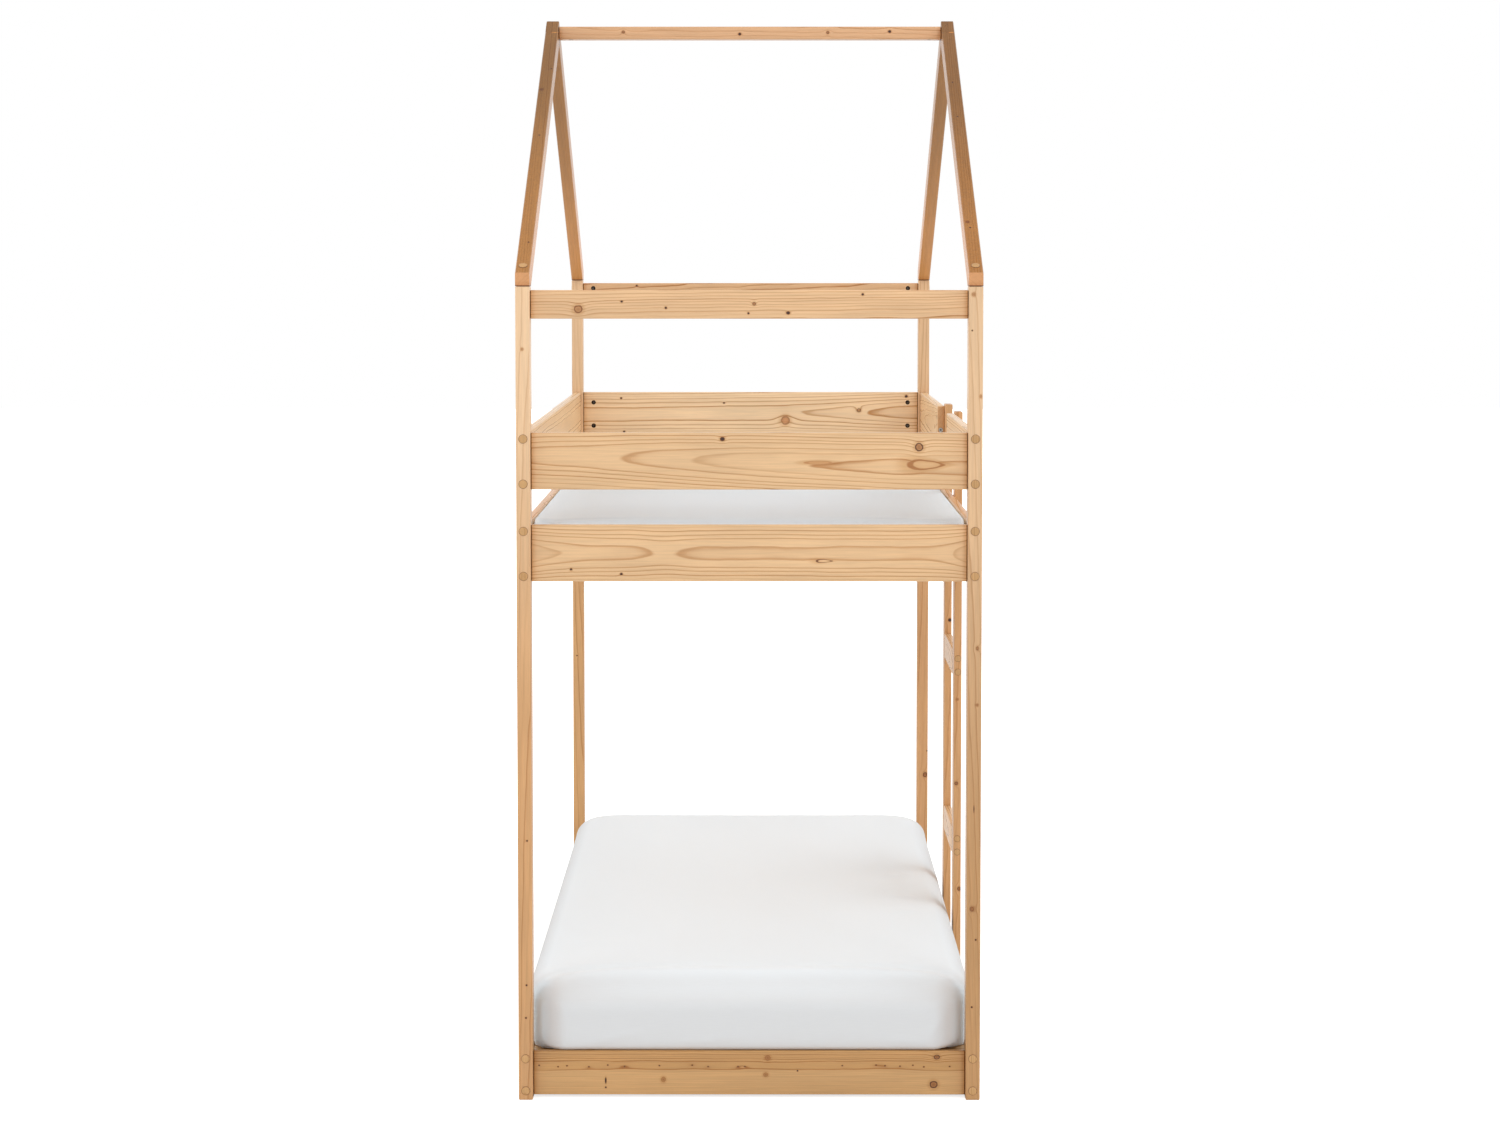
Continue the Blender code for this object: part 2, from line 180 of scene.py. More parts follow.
def hypotenuse(one, other):
    """The length of two numbers at right angles to each other."""
    return reckon("SQRT", reckon("MULTIPLY_ADD", one, one, reckon("MULTIPLY", other, other)))


def from_pith(grain, pith, lean, bow):
    """Distance from the pith line, which lies behind the seen face and may lean and bow."""
    place, across, depth = grain
    across = reckon("SUBTRACT", across, pith[0])
    across = reckon("MULTIPLY_ADD", place, -lean[1], across)
    depth = reckon("SUBTRACT", depth, pith[1])
    depth = reckon("MULTIPLY_ADD", place, -lean[0], depth)
    depth = reckon("MULTIPLY_ADD", reckon("MULTIPLY", place, place), -bow, depth)
    return hypotenuse(across, depth)


def in_halves(local, at, aside, half_length, half_width):
    """Where a point lies round a place on the seen face, in half lengths and half widths."""
    away = reckon_vector("SUBTRACT", local, (at, aside, 0.0))
    return reckon_vector("MULTIPLY", away, (1 / half_length, 1 / half_width, 0.0))


def hump(near):
    """A number that is 1 at a place and falls away smoothly round it."""
    return reckon("EXPONENT", reckon("MULTIPLY", reckon_vector("DOT_PRODUCT", near, near), -1.0))


def mark_distance(kind, near):
    """Distance from a mark's middle, 1 at its rim: pockets and eyes taper, all others are oval."""
    if kind not in ("pocket", "eye"):
        return reckon_vector("LENGTH", near)
    share_along, share_across, _ = parts_of(near)
    taper = reckon("MULTIPLY_ADD", share_along, -0.42, 0.85)
    return hypotenuse(share_along, reckon("DIVIDE", share_across, taper))


def year_lines(radius, ring, seed):
    """Each ring is pale spring wood that ends in a thin brown line of summer wood."""
    uneven = cloud(radius, 60.0, 1.0, "1D").outputs[0]
    count = reckon("MULTIPLY_ADD", radius, 1 / ring, reckon("MULTIPLY", uneven, 1.5))
    count = reckon("ADD", count, seed)
    share = reckon("FRACT", count)
    year = add_node(
        "ShaderNodeTexWhiteNoise", {"W": reckon("FLOOR", count)}, noise_dimensions="1D").outputs[0]
    rise = ease(share, 0.10, 0.92)
    line = reckon("MULTIPLY_ADD", rise, 0.16, reckon("POWER", rise, 9.0))
    line = reckon("MULTIPLY", line, ease(share, 0.90, 1.0, 1.0, 0.0))
    return reckon("MULTIPLY", line, reckon("MULTIPLY_ADD", year, 0.75, 0.25))


def mark_stain(away, middle, inner, rim):
    """What a mark leaves of the wood's own colour, from its middle out to the plain wood."""
    stain = lay_over(ease(away, 0.25, 0.90), (*middle, 1), (*inner, 1))
    for start, end, left in (
            (0.80, 0.94, rim), (1.12, 1.26, (0.88, 0.80, 0.70)), (1.30, 2.20, (1.0, 1.0, 1.0))):
        stain = lay_over(ease(away, start, end), stain, (*left, 1))
    return stain


def pine(name, centre, along, face, tone, foot_tone=None, fade=(-0.12, 0.78), pith=(0.0, -0.035),
         lean=(0.0, 0.0), bow=0.0, ring=0.0060, flow=0.012, contrast=1.0, plain_below=None,
         rough_top_and_shade=None, painted_under_shade=None, marks=(), marks_down_to=None, swells=(), seams_and_shade=()):
    """Planed pine cut from a log: growth rings round a pith line that lies behind the seen face.

    The pattern is solid, so faces, edges and ends agree. Lengths run from the piece's centre along
    the grain, then across it. The foot's tone fades into the other over a stretch of that length.
    A mark is its kind, those two lengths, and its half length and width. It goes through the wood,
    or down to so far before or behind the middle.
    A swell is where the log bulges or draws in: those four lengths, and how far the rings move out.
    A seam is a way out from the centre, and how far out the wood meets another piece: a thin dark joint
    line lies there, with painted shade over the last 12 mm before it.
    """
    material, shader, coordinates = new_material(name)
    along, face = Vector(along), Vector(face)
    turn = Matrix((along, face.cross(along), face))
    seed = Random(name).random() * 40
    local = add_node("ShaderNodeMapping", {
        "Vector": coordinates["Object"], "Location": -(turn @ Vector(centre)),
        "Rotation": turn.to_euler()}).outputs[0]
    shifted = reckon_vector("ADD", local, (seed, seed * 0.7, seed * 0.3))

    grain = bend_grain(local, shifted, flow)
    radius = from_pith(grain, pith, lean, bow)

    # Marks and swells push the rings out
    spots = []
    for kind, at, aside, half_length, half_width in marks:
        if kind == "pin":
            half_length, half_width = half_length * 1.25, half_width * 1.25
        push, reach_along, reach_across, *leaves = marks_of_pine[kind]
        if push:
            near = in_halves(local, at, aside, half_length * reach_along, half_width * reach_across)
            radius = reckon("MULTIPLY_ADD", hump(near), push * min(half_width, ring), radius)
        near = in_halves(local, at, aside, half_length, half_width)
        spots.append((mark_distance(kind, near), half_length, leaves))
    for *where, rise in swells:
        radius = reckon("MULTIPLY_ADD", hump(in_halves(local, *where)), rise, radius)

    line = year_lines(radius, ring, seed)
    base = linear(tone)
    if foot_tone:
        base = lay_over(ease(parts_of(local)[0], *fade), linear(foot_tone), base)
    if plain_below is not None:
        figured = ease(grain[1], plain_below - 0.003, plain_below + 0.003)
        line = reckon("MULTIPLY", line, reckon("MULTIPLY_ADD", figured, 0.7, 0.3))
        base = dim(figured, base, (0.90, 0.84, 0.73))
    colour = dim(line, base, (1 - 0.36 * contrast, 1 - 0.53 * contrast, 1 - 0.68 * contrast))

    # Marks go through the wood, or end inside a thick bar
    marked = 1.0
    if marks_down_to is not None:
        marked = ease(parts_of(local)[2], marks_down_to - 0.003, marks_down_to + 0.003)
    hollow = None
    for away, half_length, leaves in spots:
        ragged = cloud(shifted, (1.6 / half_length,) * 3, 1.0).outputs[0]
        away = reckon("MULTIPLY_ADD", ragged, 0.30, away)
        cover = reckon("MULTIPLY", ease(away, 1.12, 1.30, 1.0, 0.0), marked)
        colour = lay_over(cover, colour, base)
        colour = lay_over(marked, colour, mark_stain(away, *leaves), "MULTIPLY")
        hollow = cover if hollow is None else reckon("MAXIMUM", hollow, cover)

    # Fine fibres, longer streaks and soft blotches
    fibres = cloud(shifted, (40.0, 900.0, 900.0)).outputs[0]
    light = reckon("MULTIPLY_ADD", fibres, 0.12, 0.94)
    for stretch, darkest in (((9.0, 260.0, 260.0), 0.93), ((3.0, 16.0, 16.0), 0.94)):
        uneven = cloud(shifted, stretch).outputs[0]
        light = reckon("MULTIPLY", light, ease(uneven, 0.25, 0.75, darkest, 1.05))
    colour = lay_over(1.0, colour, grey(light), "MULTIPLY")

    # Sawn ends drink more oil and look darker. Faces that look up may be darkened as painted shade, mottled
    # as if rough from the saw, and faces that look down may be darkened as painted shade
    normal = coordinates["Normal"]
    if rough_top_and_shade:
        sawn_and_shaded = cloud(shifted, (230.0, 420.0, 420.0), 3.0).outputs[0]
        sawn_and_shaded = dim(1.0, grey(ease(sawn_and_shaded, 0.25, 0.75, 0.84, 1.14)), rough_top_and_shade)
        colour = lay_over(ease(parts_of(normal)[2], 0.3, 0.7), colour, sawn_and_shaded, "MULTIPLY")
    if painted_under_shade:
        colour = dim(ease(parts_of(normal)[2], -0.7, -0.3, 1.0, 0.0), colour, painted_under_shade)
    turned = reckon("ABSOLUTE", reckon_vector("DOT_PRODUCT", normal, tuple(along)))
    colour = dim(ease(turned, 0.88, 0.98), colour, (0.80, 0.68, 0.56))

    # Painted shade darkens the wood over the last 12 mm before a joint, and a thin dark line marks the
    # joint
    for way_out, reach in seams_and_shade:
        out = reckon_vector("SUBTRACT", coordinates["Object"], tuple(centre))
        out = reckon_vector("DOT_PRODUCT", out, way_out)
        for start, end, left in (
                (-0.0120, 0.0, (0.88, 0.81, 0.73)), (-0.0006, 0.0006, (0.30, 0.20, 0.12))):
            colour = dim(ease(out, reach + start, reach + end), colour, left)

    relief = reckon("MULTIPLY_ADD", fibres, 0.5, reckon("MULTIPLY", line, 0.35))
    if hollow:
        relief = reckon("MULTIPLY_ADD", hollow, -0.8, relief)
    bump = add_node("ShaderNodeBump", {"Strength": 0.3, "Distance": 0.0004, "Height": relief})
    fill(shader, {
        "Base Color": colour, "Roughness": reckon("MULTIPLY_ADD", line, -0.06, 0.30),
        "Normal": bump.outputs[0]})
    return material


def mesh_from(name, shape):
    """Turn a bmesh into a mesh."""
    mesh = bpy.data.meshes.new(name)
    shape.to_mesh(mesh)
    shape.free()
    return mesh


def add_object(name, data):
    """Put something new in the scene, at the origin."""
    holder = bpy.data.objects.new(name, data)
    bpy.context.scene.collection.objects.link(holder)
    return holder


def smooth(mesh):
    """Shade a mesh smoothly, up to its sharper edges."""
    mesh.shade_smooth()
    mesh.set_sharp_from_angle(angle=radians(50))


def add_piece(name, shape, material, stands_for=None):
    """Turn a bmesh into a finished piece of the frame, which may stand for a node."""
    bmesh.ops.recalc_face_normals(shape, faces=shape.faces)
    mesh = mesh_from(name, shape)
    smooth(mesh)
    piece = add_object(name, mesh)
    mesh.materials.append(material)
    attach(piece, "frame")
    if stands_for:
        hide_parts(stands_for)
    return piece


def block(low, high):
    """Make a plain block between two corners."""
    low, high = Vector(low), Vector(high)
    shape = bmesh.new()
    bmesh.ops.create_cube(
        shape, size=1, matrix=Matrix.Translation((low + high) / 2) @ Matrix.Diagonal((*(high - low), 1)))
    return shape


def round_off(shape, edges, radius, segments):
    """Round some edges of a bmesh."""
    bmesh.ops.bevel(
        shape, geom=edges, offset=radius, segments=segments, profile=0.5, material=-1, affect="EDGES")


def planed_bar(low, high):
    """Make a straight timber between two corners, with sanded edges."""
    shape = block(low, high)
    round_off(shape, shape.edges[:], sanded_edge, 3)
    return shape


def side_and_end(low, high):
    """Which side and which end of the bed a box lies at, each as -1 or 1."""
    return (1 if low.x + high.x > 0 else -1), (1 if low.y + high.y > 0 else -1)


# What the photograph shows on the posts: kind, height over the middle, place across, half sizes
post_marks = {
    "post_foot_left": [
        ("speck", 0.7325, 0.001, 0.003, 0.003), ("pin", -0.3074, -0.005, 0.0015, 0.0015),
        ("pin", -0.6167, -0.0025, 0.0016, 0.0016), ("pin", -0.687, -0.001, 0.0016, 0.0016)],
    "post_foot_right": [
        ("speck", 0.847, 0.005, 0.004, 0.004), ("pin", 0.7716, 0.008, 0.0013, 0.0013),
        ("speck", 0.6336, -0.0105, 0.004, 0.0025), ("pale_knot", 0.1023, -0.0057, 0.004, 0.003),
        ("speck", -0.018, -0.0057, 0.003, 0.003), ("crack", -0.2394, 0.0, 0.008, 0.0009),
        ("pale_knot", -0.453, 0.0036, 0.005, 0.004), ("pin", -0.519, -0.0049, 0.0015, 0.0015),
        ("pin", -0.6635, 0.0028, 0.0016, 0.0016)],
    "post_head_right": [
        ("knot", -0.5014, -0.0076, 0.0065, 0.0055), ("pin", -0.4346, -0.0128, 0.0015, 0.0015)],
    "post_head_left": [
        ("speck", 0.52, 0.010, 0.003, 0.003), ("pin", -0.17, 0.004, 0.0015, 0.0015)],
}
post_places = {}
for name, marks in post_marks.items():
    low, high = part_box(name)
    side, end = side_and_end(low, high)
    inner = Vector((low.x if side > 0 else high.x, low.y if end > 0 else high.y))
    middle = Vector((inner.x + side * bar_size.x / 2, inner.y + end * bar_size.y / 2, post_height / 2))
    half = Vector((*bar_size, post_height)) / 2
    wood = pine(
        name, middle, (0, 0, 1), (0, -1, 0), *post_tones[name], pith=(0.024 * side, -0.050),
        lean=(0.012 * end, 0.002), ring=0.0040, flow=0.005, contrast=0.60, marks=marks,
        marks_down_to=0.010)
    add_piece(name + "_bar", planed_bar(middle - half, middle + half), wood, stands_for=name)
    post_places[name] = (middle, side, end)


# Button caps.
# Turned pine buttons, 19 mm across on the frame and 16 mm on the ladder, hide the bolt heads. Each is
# pressed into its bolt hole until it sits on the face, and shows a low dome with a rounded rim, whose
# colour is darkened as painted shade.
cap_radius = 0.0095
ladder_cap_radius = 0.0080
cap_rise = 0.0015
cap_shoulder = 0.0028
# The caps' own wood, and a darker copy of it for the rim that paints shade round the dome
cap_wood, painted_cap_rim_shade = [
    pine(name, (0, 0, 0), (0, 0, 1), (1, 0, 0), tone, pith=(0.0, -0.4), ring=0.0031, contrast=contrast)
    for name, tone, contrast in (
        ("button_cap_pine", (0.815, 0.635, 0.420), 0.6),
        ("button_cap_rim_pine", (0.500, 0.320, 0.170), 0.4))]


def turn_rod(shape, radius, long, sides, matrix):
    """Add a plain turned rod to a bmesh."""
    bmesh.ops.create_cone(
        shape, cap_ends=True, segments=sides, radius1=radius, radius2=radius, depth=long, matrix=matrix)


def turn_button(radius, tall, middle, sides, rim, rim_steps):
    """Turn a button with a rounded upper rim round the Z axis, and return it with its top."""
    shape = bmesh.new()
    turn_rod(shape, radius, tall, sides, Matrix.Translation((0, 0, middle)))
    upper = [edge for edge in shape.edges if all(vert.co.z > middle for vert in edge.verts)]
    round_off(shape, upper, rim, rim_steps)
    return shape, max(shape.faces, key=lambda face: face.calc_center_median().z)


def seated(seat, facing):
    """The place of a turned piece on a face: a point there, and the way the face looks."""
    return Matrix.Translation(seat) @ Vector(facing).to_track_quat("Z", "Y").to_matrix().to_4x4()


def add_cap(name, seat, facing, radius=cap_radius):
    """Seat a button cap on a face, at a point, looking the way the face looks."""
    tall = cap_shoulder * 1.2
    shape, top = turn_button(radius, tall, tall / 2, 28, cap_shoulder, 4)
    # Faces near the rim take the darker copy, as painted shade
    for wall in shape.faces:
        wall.material_index = 1 if wall.calc_center_median().xy.length > radius * 0.9 else 0
    bmesh.ops.scale(shape, vec=(1, 1, cap_rise * 0.9 / tall), verts=shape.verts[:])
    for share in (0.25, 0.35):
        bmesh.ops.inset_region(shape, faces=[top], thickness=radius * share)
        bmesh.ops.translate(shape, verts=top.verts[:], vec=(0, 0, cap_rise * 0.05))
    bmesh.ops.transform(shape, matrix=seated(seat, facing), verts=shape.verts[:])
    add_piece(name, shape, cap_wood).data.materials.append(painted_cap_rim_shade)


def add_caps(stem, seats, facing, radius=cap_radius):
    """Seat a few caps of one face, numbered from 1."""
    for index, seat in enumerate(seats):
        add_cap(f"{stem}_{index + 1}", seat, facing, radius)


long_bolt_inset = 0.0125
cross_bolt_offsets = {"eave": 0.016, "guard": 0.032, "upper": 0.032, "lower": 0.016}
board_stems = {
    "eave": "eave_beam", "guard": "guard_board", "upper": "upper_rail", "lower": "lower_rail"}


def cross_bolt_heights(level):
    """Heights of the two bolts that run across the bed into an end board."""
    low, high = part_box(board_stems[level] + "_foot")
    return [(low.z + high.z) / 2 + way * cross_bolt_offsets[level] for way in (-1, 1)]


def long_bolt_heights(level):
    """Heights of the two bolts that run along the bed into a side board."""
    low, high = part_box(board_stems[level] + "_left")
    return [low.z + long_bolt_inset, high.z - long_bolt_inset]


for name, (middle, side, end) in post_places.items():
    place = name.replace("post_", "")
    outer_x = middle.x + side * bar_size.x / 2
    outer_y = middle.y + end * bar_size.y / 2
    for level in board_stems:
        add_caps(f"cap_{place}_{level}_side", [
            (outer_x, middle.y, z) for z in cross_bolt_heights(level)], (side, 0, 0))
        if level != "eave":
            add_caps(f"cap_{place}_{level}_end", [
                (middle.x, outer_y, z) for z in long_bolt_heights(level)], (0, end, 0))


# Rafters and their bolts.
# Each gable is a pair of 30 x 50 mm pine bars at 30 degrees, cut level on the post and plumb at its
# face, and half-lapped under the apex. A bolt goes down through each foot, under a button cap.
roof_pitch = radians(30)
rafter_tones = ((0.700, 0.505, 0.315), (0.885, 0.642, 0.430))
# Per side, the painted shade on the rafters' upward faces, which also carries a mottle rough from the saw
rafter_rough_top_and_shades = {-1: (0.62, 0.55, 0.31), 1: (0.59, 0.50, 0.25)}
foot_seam_inset = 0.0022
lap_reach = bar_size.y / sin(2 * roof_pitch)
heel = bar_size.y / cos(roof_pitch) - bar_size.y * tan(roof_pitch)


def finish_node(name, material):
    """Give a node of the frame its finish."""
    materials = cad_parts[name].data.materials
    materials.clear()
    materials.append(material)


for node_name in [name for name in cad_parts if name.startswith(("rafter_foot_", "rafter_head_"))]:
    low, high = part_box(node_name)
    side, end = side_and_end(low, high)
    slope = Vector((0, -end * cos(roof_pitch), sin(roof_pitch)))
    slope_face = Vector((0, end * sin(roof_pitch), cos(roof_pitch)))
    chance = Random(node_name)
    knots = [("pin", chance.uniform(-0.5, 0.5), chance.uniform(-0.010, 0.010), 0.0018, 0.0016)
             for _ in range(3)]
    knots += [("pale_knot", chance.uniform(-0.5, 0.5), chance.uniform(-0.008, 0.008), 0.005, 0.004)]
    centre = (low + high) / 2
    apex = Vector((centre.x, 0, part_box("rafter_foot_left")[1].z))
    to_apex = (apex - centre).dot(slope)
    # A painted highlight along the lap's edge below the apex, and the dark joint line of the lap
    knots += [("painted_arris_highlight", to_apex - lap_reach - 0.0028, 0.0075 * end, 0.0026, 0.0080),
              ("crack", to_apex - lap_reach / 2, -0.0008 * end, lap_reach / 2, 0.0007)]
    # The rafters' upward and downward faces are darkened as painted shade, and so is the foot just above
    # its dark joint line on the post
    finish_node(node_name, pine(
        node_name, centre, slope, slope_face, *rafter_tones, fade=(-0.55, 0.35),
        pith=(0.040 * side, -0.030), lean=(0.01, 0.0), ring=0.0034, flow=0.004, contrast=0.5,
        rough_top_and_shade=rafter_rough_top_and_shades[side], painted_under_shade=(0.91, 0.85, 0.63), marks=knots,
        marks_down_to=0.008, seams_and_shade=[((0, 0, -1), centre.z - post_height - foot_seam_inset)]))
    foot_y = post_places[node_name.replace("rafter_", "post_")][0].y
    seat = (centre.x, foot_y, post_height + heel + bar_size.y / 2 * tan(roof_pitch))
    add_cap("cap_" + node_name, seat, slope_face)


def speckled(name, fineness, detail, dark, pale):
    """Start a material that is dark and pale in small specks."""
    material, shader, coordinates = new_material(name)
    specks = cloud(coordinates["Object"], (fineness,) * 3, detail).outputs[0]
    fill(shader, {"Base Color": lay_over(specks, (*dark, 1), (*pale, 1))})
    return material, shader, specks


bolt_steel, steel_shader, steel_specks = speckled(
    "zinc_plated_steel", 900.0, 3.0, (0.66, 0.65, 0.62), (0.82, 0.81, 0.78))
fill(steel_shader, {"Metallic": 1.0, "Roughness": ease(steel_specks, 0.3, 0.7, 0.25, 0.42)})
for node_name in [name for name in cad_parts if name.startswith("rafter_bolt_")]:
    finish_node(node_name, bolt_steel)


# Boards between the posts, and the ridge.
# Every board is planed pine, 18 mm thick, and the ridge is a 30 x 50 mm bar laid flat. Bolts through
# the posts into the end grain are drawn tight in steel cross dowels, let into the inner face.
dowel_inset = 0.028
dowel_hole_radius = 0.0060
dowel_hole_depth = 0.0100
dowel_radius = 0.0027
dowel_sink = 0.0034
insert_radius = 0.00576
insert_sink = 0.0002
seam_inset = 0.0018
board_tone = (0.922, 0.765, 0.580)
low_board_tone = (0.824, 0.650, 0.440)
own_board_tones = {
    "guard_board_head": (0.975, 0.840, 0.672), "eave_beam_head": (0.900, 0.725, 0.540),
    "eave_beam_foot": (0.938, 0.772, 0.588)}

# Near-black for drilled holes and nut hollows: the holes' darker end grain, and painted shade in both
hole_grain_and_shade, hole_grain_and_shade_shader, _ = speckled(
    "hole_grain_and_shade", 500.0, 2.0, (0.030, 0.015, 0.008), (0.110, 0.055, 0.028))
fill(hole_grain_and_shade_shader, {"Roughness": 0.8})


def modified(holder):
    """Return the mesh that an object's modifiers give, and clear them."""
    bpy.context.view_layer.update()
    mesh = bpy.data.meshes.new_from_object(
        holder.evaluated_get(bpy.context.evaluated_depsgraph_get()))
    holder.modifiers.clear()
    holder.data = mesh
    return mesh


def drill(piece, holes):
    """Drill blind dowel holes into a piece: each is a point on a face and the way that face looks."""
    cutter_shape = bmesh.new()
    for seat, facing in holes:
        turn_rod(cutter_shape, dowel_hole_radius, 2 * dowel_hole_depth, 24, seated(seat, facing))
    # The hole walls take the near-black wood: darker end grain and painted shade
    for wall in cutter_shape.faces:
        wall.material_index = 1
    piece.data.materials.append(hole_grain_and_shade)
    cutter = add_object("dowel_holes", mesh_from("dowel_holes", cutter_shape))
    for wood in piece.data.materials:
        cutter.data.materials.append(wood)
    adjust(piece.modifiers.new("cut", "BOOLEAN"), operation="DIFFERENCE", object=cutter, solver="EXACT")
    smooth(modified(piece))
    bpy.data.objects.remove(cutter)


def add_dowel(name, seat, facing, radius=dowel_radius, sink=dowel_sink, wall_share=0.35):
    """Set the end of a round steel nut in its hole, with a hollow in its middle that is painted near-black
    as shade.
    """
    tall = dowel_hole_depth - sink
    shape, top = turn_button(radius, tall, tall / 2 - dowel_hole_depth, 20, radius * 0.18, 2)
    bmesh.ops.inset_region(shape, faces=[top], thickness=radius * wall_share)
    bmesh.ops.translate(shape, verts=top.verts[:], vec=(0, 0, -radius * 0.6))
    top.material_index = 1
    bmesh.ops.transform(shape, matrix=seated(seat, facing), verts=shape.verts[:])
    add_piece(name, shape, bolt_steel).data.materials.append(hole_grain_and_shade)


def board(name, wood, dowels=()):
    """Put a planed board in a node's place, with its cross dowels."""
    piece = add_piece(name + "_board", planed_bar(*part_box(name)), wood, stands_for=name)
    if dowels:
        drill(piece, dowels)
    for index, (seat, facing) in enumerate(dowels):
        add_dowel(f"dowel_{name}_{index + 1}", seat, facing)
    return piece


def end_seams_and_shade(along, half_length, ends=(-1, 1)):
    """Where the ends of a board meet the posts: a dark joint line, with painted shade before it."""
    return [(tuple(way * part for part in along), half_length - seam_inset) for way in ends]


# What the photograph shows on the end boards: kind, place along and up from the middle, half sizes
pin_row = (-0.4475, -0.4073, -0.3882, -0.3416, -0.3014, -0.2655, -0.1914, -0.1215, -0.0876, -0.0241,
           -0.0093, 0.1982, 0.2701, 0.2892, 0.3210, 0.3485, 0.3718, 0.4268)
end_board_marks = {
    "eave_beam_foot": [
        ("pale_knot", -0.3588, -0.0099, 0.0090, 0.0080), ("pin", -0.2676, 0.0062, 0.0021, 0.0019),
        ("pin", -0.1749, -0.0072, 0.0021, 0.0020), ("knot", 0.0104, 0.0013, 0.0036, 0.0034),
        ("pin", -0.0017, -0.0187, 0.0019, 0.0018), ("pin", 0.0817, -0.0178, 0.0035, 0.0026),
        ("pin", 0.2380, 0.0210, 0.0022, 0.0020)],
    "guard_board_foot": [
        ("pin", -0.0565, 0.0467, 0.0042, 0.0036), ("knot", 0.3574, 0.0298, 0.0085, 0.0085),
        ("eye", 0.3743, -0.0077, 0.0390, 0.0115), ("patch", 0.1460, -0.0033, 0.0290, 0.0038)],
    "upper_rail_foot": [
        ("pin", -0.3758, -0.0342, 0.0022, 0.0019), ("pin", -0.2697, -0.0440, 0.0024, 0.0022),
        ("pocket", 0.1584, -0.0164, 0.0185, 0.0038)],
    "lower_rail_foot": [
        *[("eyelet", at, 0.0153 + 0.0020 * sin(at * 97), 0.0018, 0.0015) for at in pin_row],
        ("crack", -0.3057, -0.0164, 0.0018, 0.0066), ("crack", -0.3057, -0.0312, 0.0019, 0.0019),
        ("speck", -0.1829, -0.0142, 0.0048, 0.0055), ("speck", 0.0394, 0.0323, 0.0060, 0.0055),
        ("speck", 0.0352, -0.0037, 0.0050, 0.0045), ("pin", 0.1029, 0.0048, 0.0014, 0.0014),
        ("knot", 0.3993, 0.0344, 0.0065, 0.0048), ("knot", 0.3929, -0.0248, 0.0085, 0.0075)],
    "eave_beam_head": [
        ("pin", -0.3125, 0.0230, 0.0022, 0.0020)],
    "guard_board_head": [
        ("ripe_knot", 0.0957, -0.0177, 0.0120, 0.0115), ("knot", 0.2979, 0.0101, 0.0058, 0.0050),
        ("pin", -0.0732, 0.0305, 0.0022, 0.0020), ("pin", -0.3560, 0.0435, 0.0024, 0.0022),
        ("pin", -0.3480, -0.0485, 0.0026, 0.0022), ("pin", 0.4280, 0.0485, 0.0034, 0.0030)],
    "upper_rail_head": [("knot", -0.210, 0.020, 0.007, 0.006), ("pin", 0.15, -0.03, 0.002, 0.002)],
    "lower_rail_head": [("pin", -0.10, 0.010, 0.002, 0.002), ("knot", 0.24, -0.012, 0.007, 0.006)],
}
# The log behind each end board: place of the pith, how it leans and bows, the ring width, and where
# the log bulges or draws in
end_board_logs = {
    "eave_beam_foot": ((-0.050, -0.030), (0.004, 0.012), 0.0, 0.0052),
    "guard_board_foot": (
        (-0.001, -0.0334), (0.0230, -0.032), -0.046, 0.0060, (-0.50, 0.0, 0.130, 0.080, -0.0075),
        (0.33, -0.010, 0.090, 0.080, -0.0030), (0.48, 0.0, 0.090, 0.080, -0.0040)),
    "upper_rail_foot": (
        (0.0, -0.0405), (0.0, 0.0), 0.0, 0.0060, (-0.18, 0.0, 0.050, 0.080, 0.0029),
        (-0.52, 0.0, 0.100, 0.060, -0.0120), (0.50, -0.004, 0.065, 0.050, -0.0120)),
    "lower_rail_foot": ((0.0145, -0.006), (0.0, 0.0), 0.0, 0.0038),
    "eave_beam_head": ((0.040, -0.050), (-0.020, 0.0), 0.0, 0.0052),
    "guard_board_head": (
        (0.002, -0.0339), (0.0, 0.006), 0.0, 0.0060, (0.47, 0.0, 0.200, 0.090, -0.0120)),
    "upper_rail_head": ((0.0, -0.040), (0.030, 0.004), 0.0, 0.0060),
    "lower_rail_head": ((0.010, -0.030), (0.020, 0.0), 0.0, 0.0055),
}
for end, end_name in ((-1, "foot"), (1, "head")):
    for level, stem in board_stems.items():
        name = f"{stem}_{end_name}"
        low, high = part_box(name)
        inner_y = low.y if end > 0 else high.y
        pith, lean, bow, ring, *swells = end_board_logs[name]
        lowest = level == "lower"
        tone = low_board_tone if lowest else own_board_tones.get(name, board_tone)
        wood = pine(
            name, (low + high) / 2, (1, 0, 0), (0, -1, 0), tone, pith=pith, lean=lean, bow=bow,
            ring=ring, flow=0.006 if swells else 0.012, contrast=1.4 if lowest and end < 0 else 1.2,
            plain_below=0.004 if lowest and end < 0 else None, marks=end_board_marks[name],
            swells=swells, seams_and_shade=end_seams_and_shade((1, 0, 0), (high.x - low.x) / 2))
        dowels = [((x, inner_y, z), (0, -end, 0)) for z in cross_bolt_heights(level)
                  for x in (low.x + dowel_inset, high.x - dowel_inset)]
        board(name, wood, dowels)

